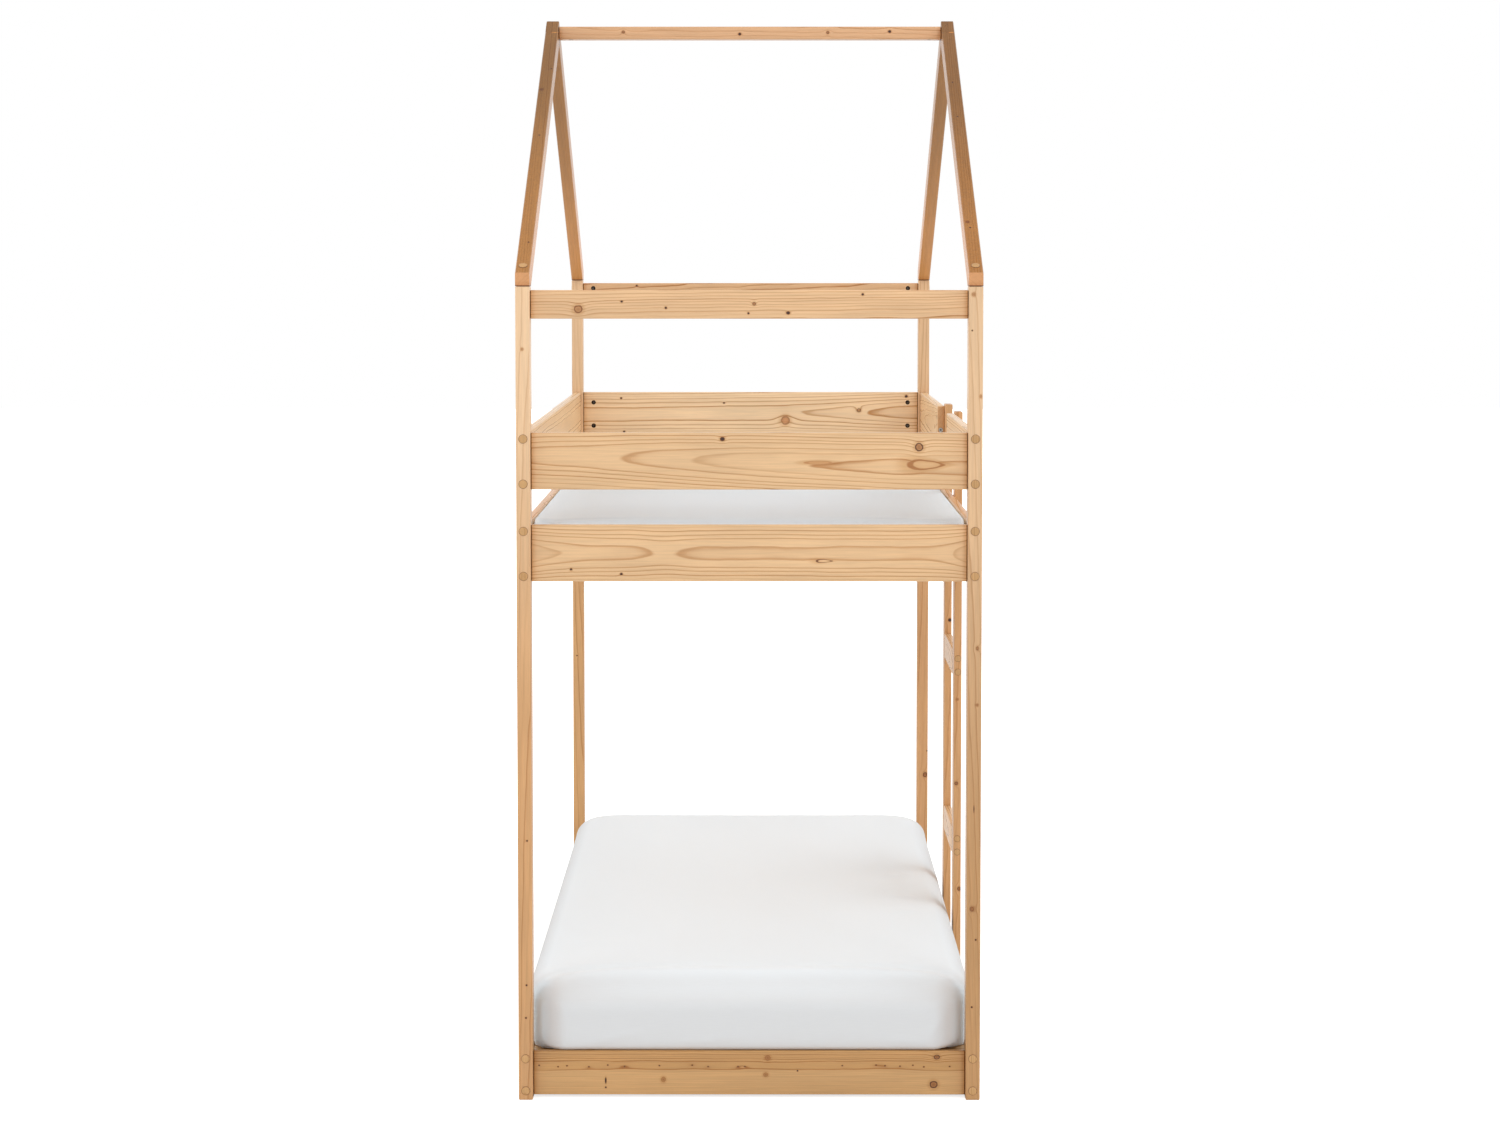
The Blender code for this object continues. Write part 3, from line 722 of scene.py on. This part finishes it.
ladder_sleeve_y = {"guard": 0.205, "upper": 0.190, "lower": 0.190}
beside_ladder = ladder_sleeve_y["guard"] + 0.05
side_knots = {"knot": (0.0080, 0.0070), "pale_knot": (0.0080, 0.0070), "pin": (0.0022, 0.0020)}
for side, side_name in ((-1, "left"), (1, "right")):
    for level in ("guard", "upper", "lower"):
        names = [f"{board_stems[level]}_{side_name}"]
        if side > 0 and level == "guard":
            names = ["guard_board_right_foot", "guard_board_right_head"]
        for name in names:
            low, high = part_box(name)
            inner_x = low.x if side > 0 else high.x
            chance = Random(name)
            half_length = (high.y - low.y) / 2
            half_height = (high.z - low.z) / 2
            knots = []
            for _ in range(int(6 * half_length) + 1):
                kind = chance.choice(("knot", "pin", "pin", "pale_knot"))
                knots.append((kind, chance.uniform(-0.9, 0.9) * half_length,
                              chance.uniform(-0.8, 0.8) * half_height, *side_knots[kind]))
            lowest = level == "lower"
            tone = low_board_tone if lowest else board_tone
            # The upper side rails' top faces are darkened as painted shade, with a mottle rough from the
            # saw
            wood = pine(
                name, (low + high) / 2, (0, 1, 0), (-side, 0, 0), tone,
                pith=(chance.uniform(-0.01, 0.01), chance.uniform(-0.05, -0.03)),
                lean=(chance.uniform(-0.03, 0.03), chance.uniform(-0.01, 0.01)), ring=0.0060,
                flow=0.006, contrast=0.3, rough_top_and_shade=(0.86, 0.72, 0.64) if level == "upper" else None,
                marks=knots, seams_and_shade=end_seams_and_shade((0, 1, 0), half_length, [
                    way for way in (-1, 1) if max(way * low.y, way * high.y) > beside_ladder]))
            dowels = [((inner_x, y, z), (-side, 0, 0)) for z in long_bolt_heights(level)
                      for y in (low.y + dowel_inset, high.y - dowel_inset) if abs(y) > beside_ladder]
            if side > 0:
                dowels += [((inner_x, y, z), (-side, 0, 0)) for z in cross_bolt_heights(level)
                           for y in (-ladder_sleeve_y[level], ladder_sleeve_y[level]) if low.y < y < high.y]
            piece = board(name, wood, dowels)
            if name == "guard_board_right_head":
                # A steel insert sits in the middle of its free end
                seat, facing = ((low.x + high.x) / 2, low.y, (low.z + high.z) / 2), (0, -1, 0)
                drill(piece, [(seat, facing)])
                add_dowel("insert_" + name, seat, facing, insert_radius, insert_sink, wall_share=0.50)

low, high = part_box("ridge_beam")
ridge_wood = pine(
    "ridge_beam", (low + high) / 2, (1, 0, 0), (0, -1, 0), (0.905, 0.715, 0.538),
    pith=(0.030, -0.045), lean=(0.010, 0.0), ring=0.0046, contrast=0.85, marks=[
        ("knot", -0.3046, 0.002, 0.0036, 0.0034), ("pin", -0.0247, -0.003, 0.0030, 0.0028),
        ("knot", 0.1870, 0.001, 0.0036, 0.0034), ("pin", 0.3354, 0.003, 0.0030, 0.0028)],
    seams_and_shade=end_seams_and_shade((1, 0, 0), (high.x - low.x) / 2))
board("ridge_beam", ridge_wood, [
    ((x, 0, low.z), (0, 0, -1)) for x in (low.x + dowel_inset, high.x - dowel_inset)])
ridge_middle = (low.z + high.z) / 2
ridge_cap_drop = 0.003
ridge_cap_offset = 0.0125
for side, side_name in ((-1, "left"), (1, "right")):
    gable_low, gable_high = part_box(f"rafter_foot_{side_name}")
    outer_x = gable_high.x if side > 0 else gable_low.x
    add_caps(f"cap_ridge_{side_name}", [
        (outer_x, y, ridge_middle - ridge_cap_drop) for y in (-ridge_cap_offset, ridge_cap_offset)],
        (side, 0, 0))


# Slatted bases.
# Eleven thin pine slats for each bunk lie across two pine ledges, which are glued and screwed to the
# inside of the side rails.
slat_tone = (0.880, 0.735, 0.560)
ledge_tone = (0.830, 0.660, 0.460)
for node_name in [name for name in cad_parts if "_slat_" in name]:
    low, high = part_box(node_name)
    chance = Random(node_name)
    is_ledge = "ledge" in node_name
    along = (0, 1, 0) if is_ledge else (1, 0, 0)
    half_length = (high.y - low.y) / 2 if is_ledge else (high.x - low.x) / 2
    half_across = 0.006 if is_ledge else (high.y - low.y) / 2
    knots = [("pin" if chance.random() < 0.5 else "pale_knot", chance.uniform(-0.9, 0.9) * half_length,
              chance.uniform(-0.8, 0.8) * half_across, 0.0045, 0.0040) for _ in range(2)]
    finish_node(node_name, pine(
        node_name, (low + high) / 2, along, (0, 0, 1), ledge_tone if is_ledge else slat_tone,
        pith=(chance.uniform(-0.02, 0.02), chance.uniform(-0.06, -0.03)),
        lean=(chance.uniform(-0.04, 0.04), 0.0), ring=0.0062, marks=knots))


# Ladder.
# Two pine uprights, 18 x 60 mm, stand on the floor and are bolted to the right rails and guard boards.
# Two rungs of the same stock are held between them by long screws through the uprights, under caps.
ladder_tone = (0.850, 0.645, 0.435)
rung_tone = (0.925, 0.750, 0.555)
rung_screw_offset = 0.016
upright_size = 0.060
upright_marks = {
    "ladder_upright_foot": [
        ("knot", -0.171, 0.0028, 0.0042, 0.0040), ("knot", -0.4239, -0.0050, 0.0046, 0.0042),
        ("speck", 0.0300, 0.0010, 0.003, 0.003)],
    "ladder_upright_head": [("pin", 0.1756, -0.0041, 0.0034, 0.0034)],
}
rung_middles = {}
for which in ("lower", "upper"):
    low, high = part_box(f"ladder_rung_{which}")
    rung_middles[which] = (low.z + high.z) / 2
for name, marks in upright_marks.items():
    low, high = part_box(name)
    _, end = side_and_end(low, high)
    inner_y = low.y if end > 0 else high.y
    outer_y = inner_y + end * upright_size
    outer_x = high.x - cap_rise
    corners = (Vector((low.x, min(inner_y, outer_y), low.z)),
               Vector((outer_x, max(inner_y, outer_y), high.z)))
    middle = (corners[0] + corners[1]) / 2
    wood = pine(
        name, middle, (0, 0, 1), (0, -1, 0), ladder_tone, pith=(0.020, -0.060), lean=(0.014, 0.0),
        ring=0.0042, flow=0.005, contrast=0.6, marks=marks, marks_down_to=0.012)
    add_piece(name + "_board", planed_bar(*corners), wood, stands_for=name)
    for which, rung_z in rung_middles.items():
        add_caps(f"cap_{name}_{which}_rung", [
            (middle.x, outer_y, rung_z + offset) for offset in (-rung_screw_offset, rung_screw_offset)],
            (0, end, 0), ladder_cap_radius)
    for level in ("guard", "upper", "lower"):
        add_caps(f"cap_{name}_{level}", [
            (outer_x, end * ladder_sleeve_y[level], z) for z in cross_bolt_heights(level)],
            (1, 0, 0), ladder_cap_radius)
for which in rung_middles:
    name = f"ladder_rung_{which}"
    low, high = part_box(name)
    wood = pine(
        name, (low + high) / 2, (0, 1, 0), (-1, 0, 0), rung_tone, pith=(0.004, -0.050),
        lean=(0.03, 0.0), ring=0.0058, contrast=0.6, marks=[("pin", 0.05, 0.008, 0.002, 0.002)],
        seams_and_shade=end_seams_and_shade((0, 1, 0), (high.y - low.y) / 2))
    board(name, wood)


# Mattresses.
# Two foam mattresses, 16 cm thick below and 9 cm above, each in a white cotton cover that is pulled
# over the foam and gathered underneath. The cover bellies out a little and softens every edge.
# Each cover's top tone and side band tone: the band is painted darker on the lower cover and lighter on the
# upper one, as shade and light fall on them
cotton_tones = {
    "mattress_lower": ((0.940, 0.965, 0.984), (0.884, 0.893, 0.900)),
    "mattress_upper": ((0.858, 0.893, 0.920), (0.930, 0.950, 0.965))}
cotton_corner_painted_cool = (0.97, 1.03, 1.07)
cover_swell = 0.006
cover_crown = 0.004
cover_inset = 0.002
cover_draw_in = 0.0005
gather_depth = 0.0006
cover_mesh = 0.014
cloth_pressure = 4.0
cloth_steps = 20


def cotton(name, tone, painted_side_tone):
    """White cotton: a plain weave on the cover's own map, with slightly uneven yarn.

    The band round the sides is painted a little lighter or darker than the top, as light and shade fall
    on them, and the foot corners are painted a little cooler against the posts' warm bounce light.
    """
    material, shader, coordinates = new_material(name)
    weave_map = adjust(shader.id_data.nodes.new("ShaderNodeUVMap"), uv_map="cloth").outputs[0]
    uneven = cloud(weave_map, (60.0, 60.0, 1.0)).outputs["Color"]
    uneven = reckon_vector("MULTIPLY", uneven, (0.0006, 0.0006, 0.0))
    threads = reckon_vector("MULTIPLY", reckon_vector("ADD", weave_map, uneven), (9000.0,) * 3)
    warp, weft, _ = parts_of(threads)
    weave = reckon("MULTIPLY", reckon("SINE", warp), reckon("SINE", weft))
    slubs = cloud(weave_map, (30.0, 700.0, 1.0)).outputs[0]
    shade = reckon("MULTIPLY_ADD", weave, 0.012, reckon("MULTIPLY_ADD", slubs, 0.05, 0.965))
    upward = parts_of(coordinates["Normal"])[2]
    cloth = lay_over(ease(upward, 0.60, 0.97), linear(painted_side_tone), linear(tone))
    # Painted cooler tone at the foot corners, against the warm light that the posts bounce onto them
    place_x, place_y, _ = parts_of(coordinates["Object"])
    beside = ease(reckon("ABSOLUTE", place_x), 0.415, 0.460)
    corner = reckon("MULTIPLY", beside, ease(place_y, -0.94, -0.98))
    cloth = lay_over(corner, cloth, linear(cotton_corner_painted_cool), "MULTIPLY")
    cloth = lay_over(1.0, cloth, grey(shade), "MULTIPLY")
    relief = reckon("MULTIPLY_ADD", weave, 0.5, slubs)
    bump = add_node("ShaderNodeBump", {"Strength": 0.25, "Distance": 0.0003, "Height": relief})
    fill(shader, {
        "Base Color": cloth, "Normal": bump.outputs[0], "Roughness": 0.7, "Specular IOR Level": 0.5,
        "Sheen Weight": 0.5})
    return material


def foam_block(low, high, corners, edges):
    """The foam under the cover: rounded in plan at the foot and head end, then below and on top."""
    shape = block(low, high)
    for way, corner in zip((-1, 1), corners):
        upright = [edge for edge in shape.edges
                   if all(vert.co.y * way > (high.y - low.y) * 0.4 for vert in edge.verts)
                   and abs(edge.verts[0].co.z - edge.verts[1].co.z) > (high.z - low.z) / 2]
        round_off(shape, upright, corner, 10)
    for way, edge_radius in zip((-1, 1), edges):
        flat = max(shape.faces, key=lambda face: way * face.calc_center_median().z)
        round_off(shape, flat.edges[:], edge_radius, 6)
    return shape


def read_points(mesh):
    """The points of a mesh, one to a row."""
    points = np.zeros(len(mesh.vertices) * 3)
    mesh.vertices.foreach_get("co", points)
    return points.reshape(-1, 3)


def settle(holder):
    """Let air pressure fill the cover a little, as foam does, and hold each point near its start."""
    start = read_points(holder.data)
    cloth = holder.modifiers.new("cover", "CLOTH")
    adjust(
        cloth.settings, use_pressure=True, uniform_pressure_force=cloth_pressure, quality=5,
        tension_stiffness=12, compression_stiffness=12, bending_stiffness=0.8)
    cloth.settings.effector_weights.gravity = 0
    adjust(cloth.point_cache, frame_start=1, frame_end=cloth_steps)
    for step in range(1, cloth_steps + 1):
        bpy.context.scene.frame_set(step)
    mesh = modified(holder)
    bpy.context.scene.frame_set(1)
    way = read_points(mesh) - start
    length = np.linalg.norm(way, axis=1, keepdims=True)
    way *= np.minimum(1, cover_swell / np.maximum(length, 1e-9))
    mesh.vertices.foreach_set("co", (start + way).ravel())
    mesh.update()


def cover_foam(name, low, high, corners, edges):
    """Pull a cover over a foam block and let it settle."""
    holder = add_object(name + "_cover", mesh_from(name + "_foam", foam_block(
        Vector((low.x + cover_inset, low.y + cover_inset, low.z + cover_inset / 2)),
        Vector((high.x - cover_inset, high.y - cover_inset, high.z - cover_swell)), corners, edges)))
    adjust(holder.modifiers.new("mesh", "REMESH"), mode="VOXEL", voxel_size=cover_mesh)
    modified(holder)
    settle(holder)
    adjust(holder.modifiers.new("soften", "SMOOTH"), factor=0.5, iterations=2)
    adjust(holder.modifiers.new("finer", "SUBSURF"), levels=1, render_levels=1)
    modified(holder)
    return holder


def held(numbers):
    """Hold numbers between 0 and 1."""
    return np.clip(numbers, 0, 1)


def square_long_edges(points, share, middle, which):
    """Draw the upper (1) or lower (-1) long edges out towards a square, but not at the corners."""
    beside = held(which * share[:, 2] * 2) * held(np.abs(share[:, 0]) * 20 - 18)
    beside *= held((0.965 - np.abs(share[:, 1])) / 0.03)
    furthest = np.abs(points - middle).max(axis=0)
    if which < 0:
        furthest[2] = middle[2] - points[:, 2].min()
    for axis in (0, 2):
        inward = furthest[axis] - np.abs(points[:, axis] - middle[axis])
        squared = np.interp(inward, (0, 0.016, furthest[axis]), (0, 0.005, furthest[axis]))
        points[:, axis] += np.sign(points[:, axis] - middle[axis]) * (inward - squared) * beside


def hang_over_rails(points, share, low, middle, overhang):
    """Let the cover belly out over the left, right and foot rails, between the posts."""
    above_rail = points[:, 2] - low.z - 0.008
    for axis, way, size, post_near, rise, sharpness in (
            (0, -1, overhang[0], 0.978, 0.030, 4), (0, 1, overhang[1], 0.978, 0.030, 4),
            (1, -1, overhang[2], 0.440, 0.004, 40)):
        off_rail = held(above_rail / rise)
        off_post = held((post_near - np.abs(points[:, 1 - axis] - middle[1 - axis])) / 0.050)
        spread = (3 - 2 * off_rail) * off_rail ** 2 * (3 - 2 * off_post) * off_post ** 2
        points[:, axis] += way * size * spread * held(way * share[:, axis]) ** sharpness

    # The foot end hangs down until it lies on the foot rail
    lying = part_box("lower_rail_foot")[1].z + 0.0014
    hung = np.interp(points[:, 2], (low.z, low.z + 0.012, low.z + 0.030), (lying, lying, low.z + 0.030))
    hangs = (points[:, 1] < low.y - 0.0015) & (points[:, 2] < low.z + 0.030)
    points[:, 2] = np.where(hangs, hung, points[:, 2])


def round_nose(points, share, radius, nose):
    """Give the foot edge a fuller round nose than the foam's own radius."""
    back = np.clip(points[:, 1] - points[:, 1].min(), 0, nose)
    as_foam = radius - np.sqrt(radius ** 2 - np.clip(radius - back, 0, radius) ** 2)
    as_nose = nose - np.sqrt(nose ** 2 - (nose - back) ** 2)
    points[:, 2] -= (as_nose - as_foam) * held(share[:, 2])


def roll_foot_edge(points, share, low, half, roll, hollow_at):
    """Raise a soft roll along the foot edge, and sink a hollow behind it."""
    top = held(share[:, 2])
    aside = np.abs(points[:, 0]) / half[0]
    behind = (points[:, 1] - low.y) / hollow_at - 1 + 0.65 * aside ** 4
    points[:, 2] += roll * top * (0.5 * np.exp(-((behind + 0.47) / 0.27) ** 2) - (
        0.25 + 0.75 * held(aside * 1.3) ** 2) * np.exp(-(behind / 0.18) ** 2))


def fold(across, up, turn, length, width, bow=0.0):
    """A long low hump round a point, which is turned and may bow."""
    on = across * cos(turn) + up * sin(turn)
    off = up * cos(turn) - across * sin(turn) + bow * on ** 2
    return np.exp(-(on / length) ** 2 - (off / width) ** 2)


def gather_below(points, share):
    """Draw the sides in towards the slats, in the small gathers of an elastic hem."""
    lower = held((-0.55 - share[:, 2]) / 0.45) ** 2
    round_about = np.arctan2(share[:, 1], share[:, 0]) * 40
    gathers = sum(size * np.sin(round_about * pitch + phase) for size, pitch, phase in (
        (0.5, 1.0, 0.3), (0.35, 2.3, 1.7), (0.3, 3.9, 4.1)))
    for axis in (0, 1):
        outer = np.sign(share[:, axis]) * np.abs(share[:, axis]) ** 8
        points[:, axis] -= (cover_draw_in * lower + gather_depth * lower * gathers) * outer


def map_weave(mesh, points, top):
    """Run the weave over the edges without a break: the map unrolls the sides from the top."""
    normals = np.zeros(len(mesh.polygons) * 3)
    mesh.polygons.foreach_get("normal", normals)
    normals = np.repeat(normals.reshape(-1, 3), 4, axis=0)
    corners = np.zeros(len(mesh.loops), int)
    mesh.loops.foreach_get("vertex_index", corners)
    at = points[corners]
    fall = top - at[:, 2]
    on_side = np.abs(normals[:, 0]) > np.maximum(np.abs(normals[:, 1]), np.abs(normals[:, 2]))
    on_end = np.abs(normals[:, 1]) > np.maximum(np.abs(normals[:, 0]), np.abs(normals[:, 2]))
    u = np.where(on_side, at[:, 0] + np.sign(normals[:, 0]) * fall, at[:, 0])
    v = np.where(on_end, at[:, 1] + np.sign(normals[:, 1]) * fall, at[:, 1])
    layer = mesh.uv_layers.new(name="cloth")
    layer.data.foreach_set("uv", np.column_stack([u, v]).ravel())


def add_mattress(name, body, corners, edges, bulge, long_edges, creases, roll, hollow_at, droop=0,
                 overhang=None, nose=None, corner_lift=0, puckers=()):
    """Cover a foam block and put it in a node's place.

    The foot edge is a soft roll with a hollow behind it. The long edges droop so far on top, and the
    cover's right foot corner may be lifted. Creases lie on top, and puckers are folds in the foot end:
    each is a place, a turn, its length and width, and how far it stands out.
    """
    low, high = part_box(name)
    holder = cover_foam(name, low, high, corners, edges)
    points = read_points(holder.data)
    middle = np.array((low + high) / 2)
    half = np.array((high - low) / 2)
    share = points - (points.min(axis=0) + points.max(axis=0)) / 2
    share[:, :2] /= share[:, :2].max(axis=0)
    share[:, 2] = (points[:, 2] - middle[2]) / half[2]
    points[:, :2] = middle[:2] + share[:, :2] * (half[:2] + bulge)
    upper = held((share[:, 2] + 0.2) / 1.2) ** 2
    points[:, 2] += cover_crown * upper * held(1 - share[:, 0] ** 2) * held(1 - share[:, 1] ** 2)
    square_long_edges(points, share, middle, long_edges)
    points[:, 2] -= droop * held(share[:, 2] * 2) * held(np.abs(share[:, 0]) * 10 - 9) ** 2
    if overhang:
        hang_over_rails(points, share, low, middle, overhang)
    if nose:
        round_nose(points, share, edges[1], nose)
    roll_foot_edge(points, share, low, half, roll, hollow_at)
    front = held((-share[:, 1] - 0.975) / 0.02)
    for x, z, turn, length, width, push in puckers:
        points[:, 1] -= push * front * fold(points[:, 0] - x, points[:, 2] - z, turn, length, width)
    gather_below(points, share)
    lift = held((share[:, 0] - 0.86) / 0.14) * held((-share[:, 1] - 0.94) / 0.06)
    points[:, 2] += corner_lift * np.sqrt(lift) * held(-share[:, 2])
    for x, y, turn, length, width, rise in creases:
        fade = held((half[0] - 0.030 - np.abs(points[:, 0] - middle[0])) / 0.060)
        points[:, 2] += fade * rise * (share[:, 2] > 0) * fold(
            points[:, 0] - x, points[:, 1] - y, turn, length, width, 0.18)
    points[:, 2] = np.clip(points[:, 2], low.z, high.z + cover_inset)
    holder.data.vertices.foreach_set("co", points.ravel())
    holder.data.update()
    holder.data.shade_smooth()
    map_weave(holder.data, points, high.z)
    holder.data.materials.clear()
    holder.data.materials.append(cotton(name + "_cotton", *cotton_tones[name]))
    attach(holder, body)
    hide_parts(name)


add_mattress(
    "mattress_lower", "lower_mattress", corners=(0.036, 0.100), edges=(0.010, 0.050),
    bulge=(0.0005, 0.0040), long_edges=-1, roll=0.009, hollow_at=0.095, nose=0.090, corner_lift=0.006,
    overhang=(0.0150, 0.0160, 0.0170), creases=[
        (0.34, 0.085, radians(4), 0.11, 0.024, 0.0040), (0.37, -0.180, radians(-8), 0.07, 0.022, 0.0030),
        (0.34, -0.345, radians(6), 0.10, 0.026, 0.0035),
        (-0.30, -0.70, radians(-20), 0.12, 0.030, 0.0020)],
    puckers=[
        (-0.30, 0.128, radians(12), 0.060, 0.006, 0.0020),
        (0.33, 0.122, radians(-4), 0.050, 0.006, 0.0020),
        (0.39, 0.150, radians(55), 0.050, 0.010, 0.0025),
        (-0.10, 0.125, radians(5), 0.080, 0.006, 0.0012)])
add_mattress(
    "mattress_upper", "upper_mattress", corners=(0.045, 0.060), edges=(0.012, 0.016),
    bulge=(0.0046, 0.0020), long_edges=1, roll=0.008, hollow_at=0.066, droop=0.0075, creases=[
        (0.38, -0.90, radians(35), 0.10, 0.030, -0.0030), (-0.20, -0.60, radians(12), 0.30, 0.05, 0.0015)])


# Studio: a white floor that fades into the white room, which is bright all round, and three broad
# lamps: one in front, above and to the right, and one high on each side.
floor_shape = bmesh.new()
bmesh.ops.create_grid(floor_shape, x_segments=1, y_segments=1, size=30)
floor = add_object("floor", mesh_from("floor", floor_shape))
floor_paint, floor_shader, floor_places = new_material("white_floor")
fill(floor_shader, {
    "Roughness": 0.9, "Specular IOR Level": 0.0, "Base Color": (0.76, 0.76, 0.76, 1)})
floor_nodes = floor_paint.node_tree.nodes
seen = floor_nodes.new("ShaderNodeLightPath").outputs
from_bed = reckon_vector("LENGTH", floor_places["Object"])
white_level = grey(ease(from_bed, 0.6, 3.5, 0.72, 1.0))
floor_glow = lay_over(seen["Is Camera Ray"], (0.05, 0.05, 0.05, 1), white_level)
glow = add_node("ShaderNodeEmission", {"Color": floor_glow})
added = add_node("ShaderNodeAddShader", {0: floor_shader.outputs[0], 1: glow.outputs[0]})
fill(floor_nodes["Material Output"], {"Surface": added.outputs[0]})
floor.data.materials.append(floor_paint)

world = bpy.data.worlds.new("white_room")
bpy.context.scene.world = world
world.use_nodes = True
room = world.node_tree.nodes
way_up = parts_of(room.new("ShaderNodeTexCoord").outputs["Generated"])[2]
room_level = ease(way_up, 0.35, 0.90, 0.90, 0.50)
paths = room.new("ShaderNodeLightPath").outputs
plain_white = reckon("MAXIMUM", paths["Is Camera Ray"], paths["Is Transmission Ray"])
mirrored = reckon("MULTIPLY", paths["Is Glossy Ray"], ease(way_up, 0.30, 0.80, 1.0, 0.45))
plain_white = reckon("MAXIMUM", plain_white, mirrored)
fill(room["Background"], {
    "Color": (1, 1, 1, 1), "Strength": reckon("MAXIMUM", room_level, plain_white)})

for lamp_name, shines, energy, spread in (
        ("front_lamp", (-0.50, 0.80, -0.42), 0.18, 12), ("left_lamp", (0.70, 0.12, -0.70), 0.85, 60),
        ("right_lamp", (-0.70, 0.12, -0.70), 0.85, 60)):
    lamp = adjust(bpy.data.lights.new(lamp_name, "SUN"), energy=energy, angle=radians(spread))
    lamp_holder = add_object(lamp_name, lamp)
    lamp_holder.rotation_euler = Vector(shines).to_track_quat("-Z", "Y").to_euler()

# The camera stands at eye height in front of the foot end, as in the photograph.
camera = add_object("camera", adjust(
    bpy.data.cameras.new("camera"), lens=75.19, sensor_width=36, shift_y=-0.07, clip_end=100))
camera.location = (0.006, -7.6028, 1.7820)
camera.rotation_euler = (pi / 2 - 0.06281, 0, 0.0016)
bpy.context.scene.camera = camera
bpy.context.scene.view_settings.view_transform = "Standard"
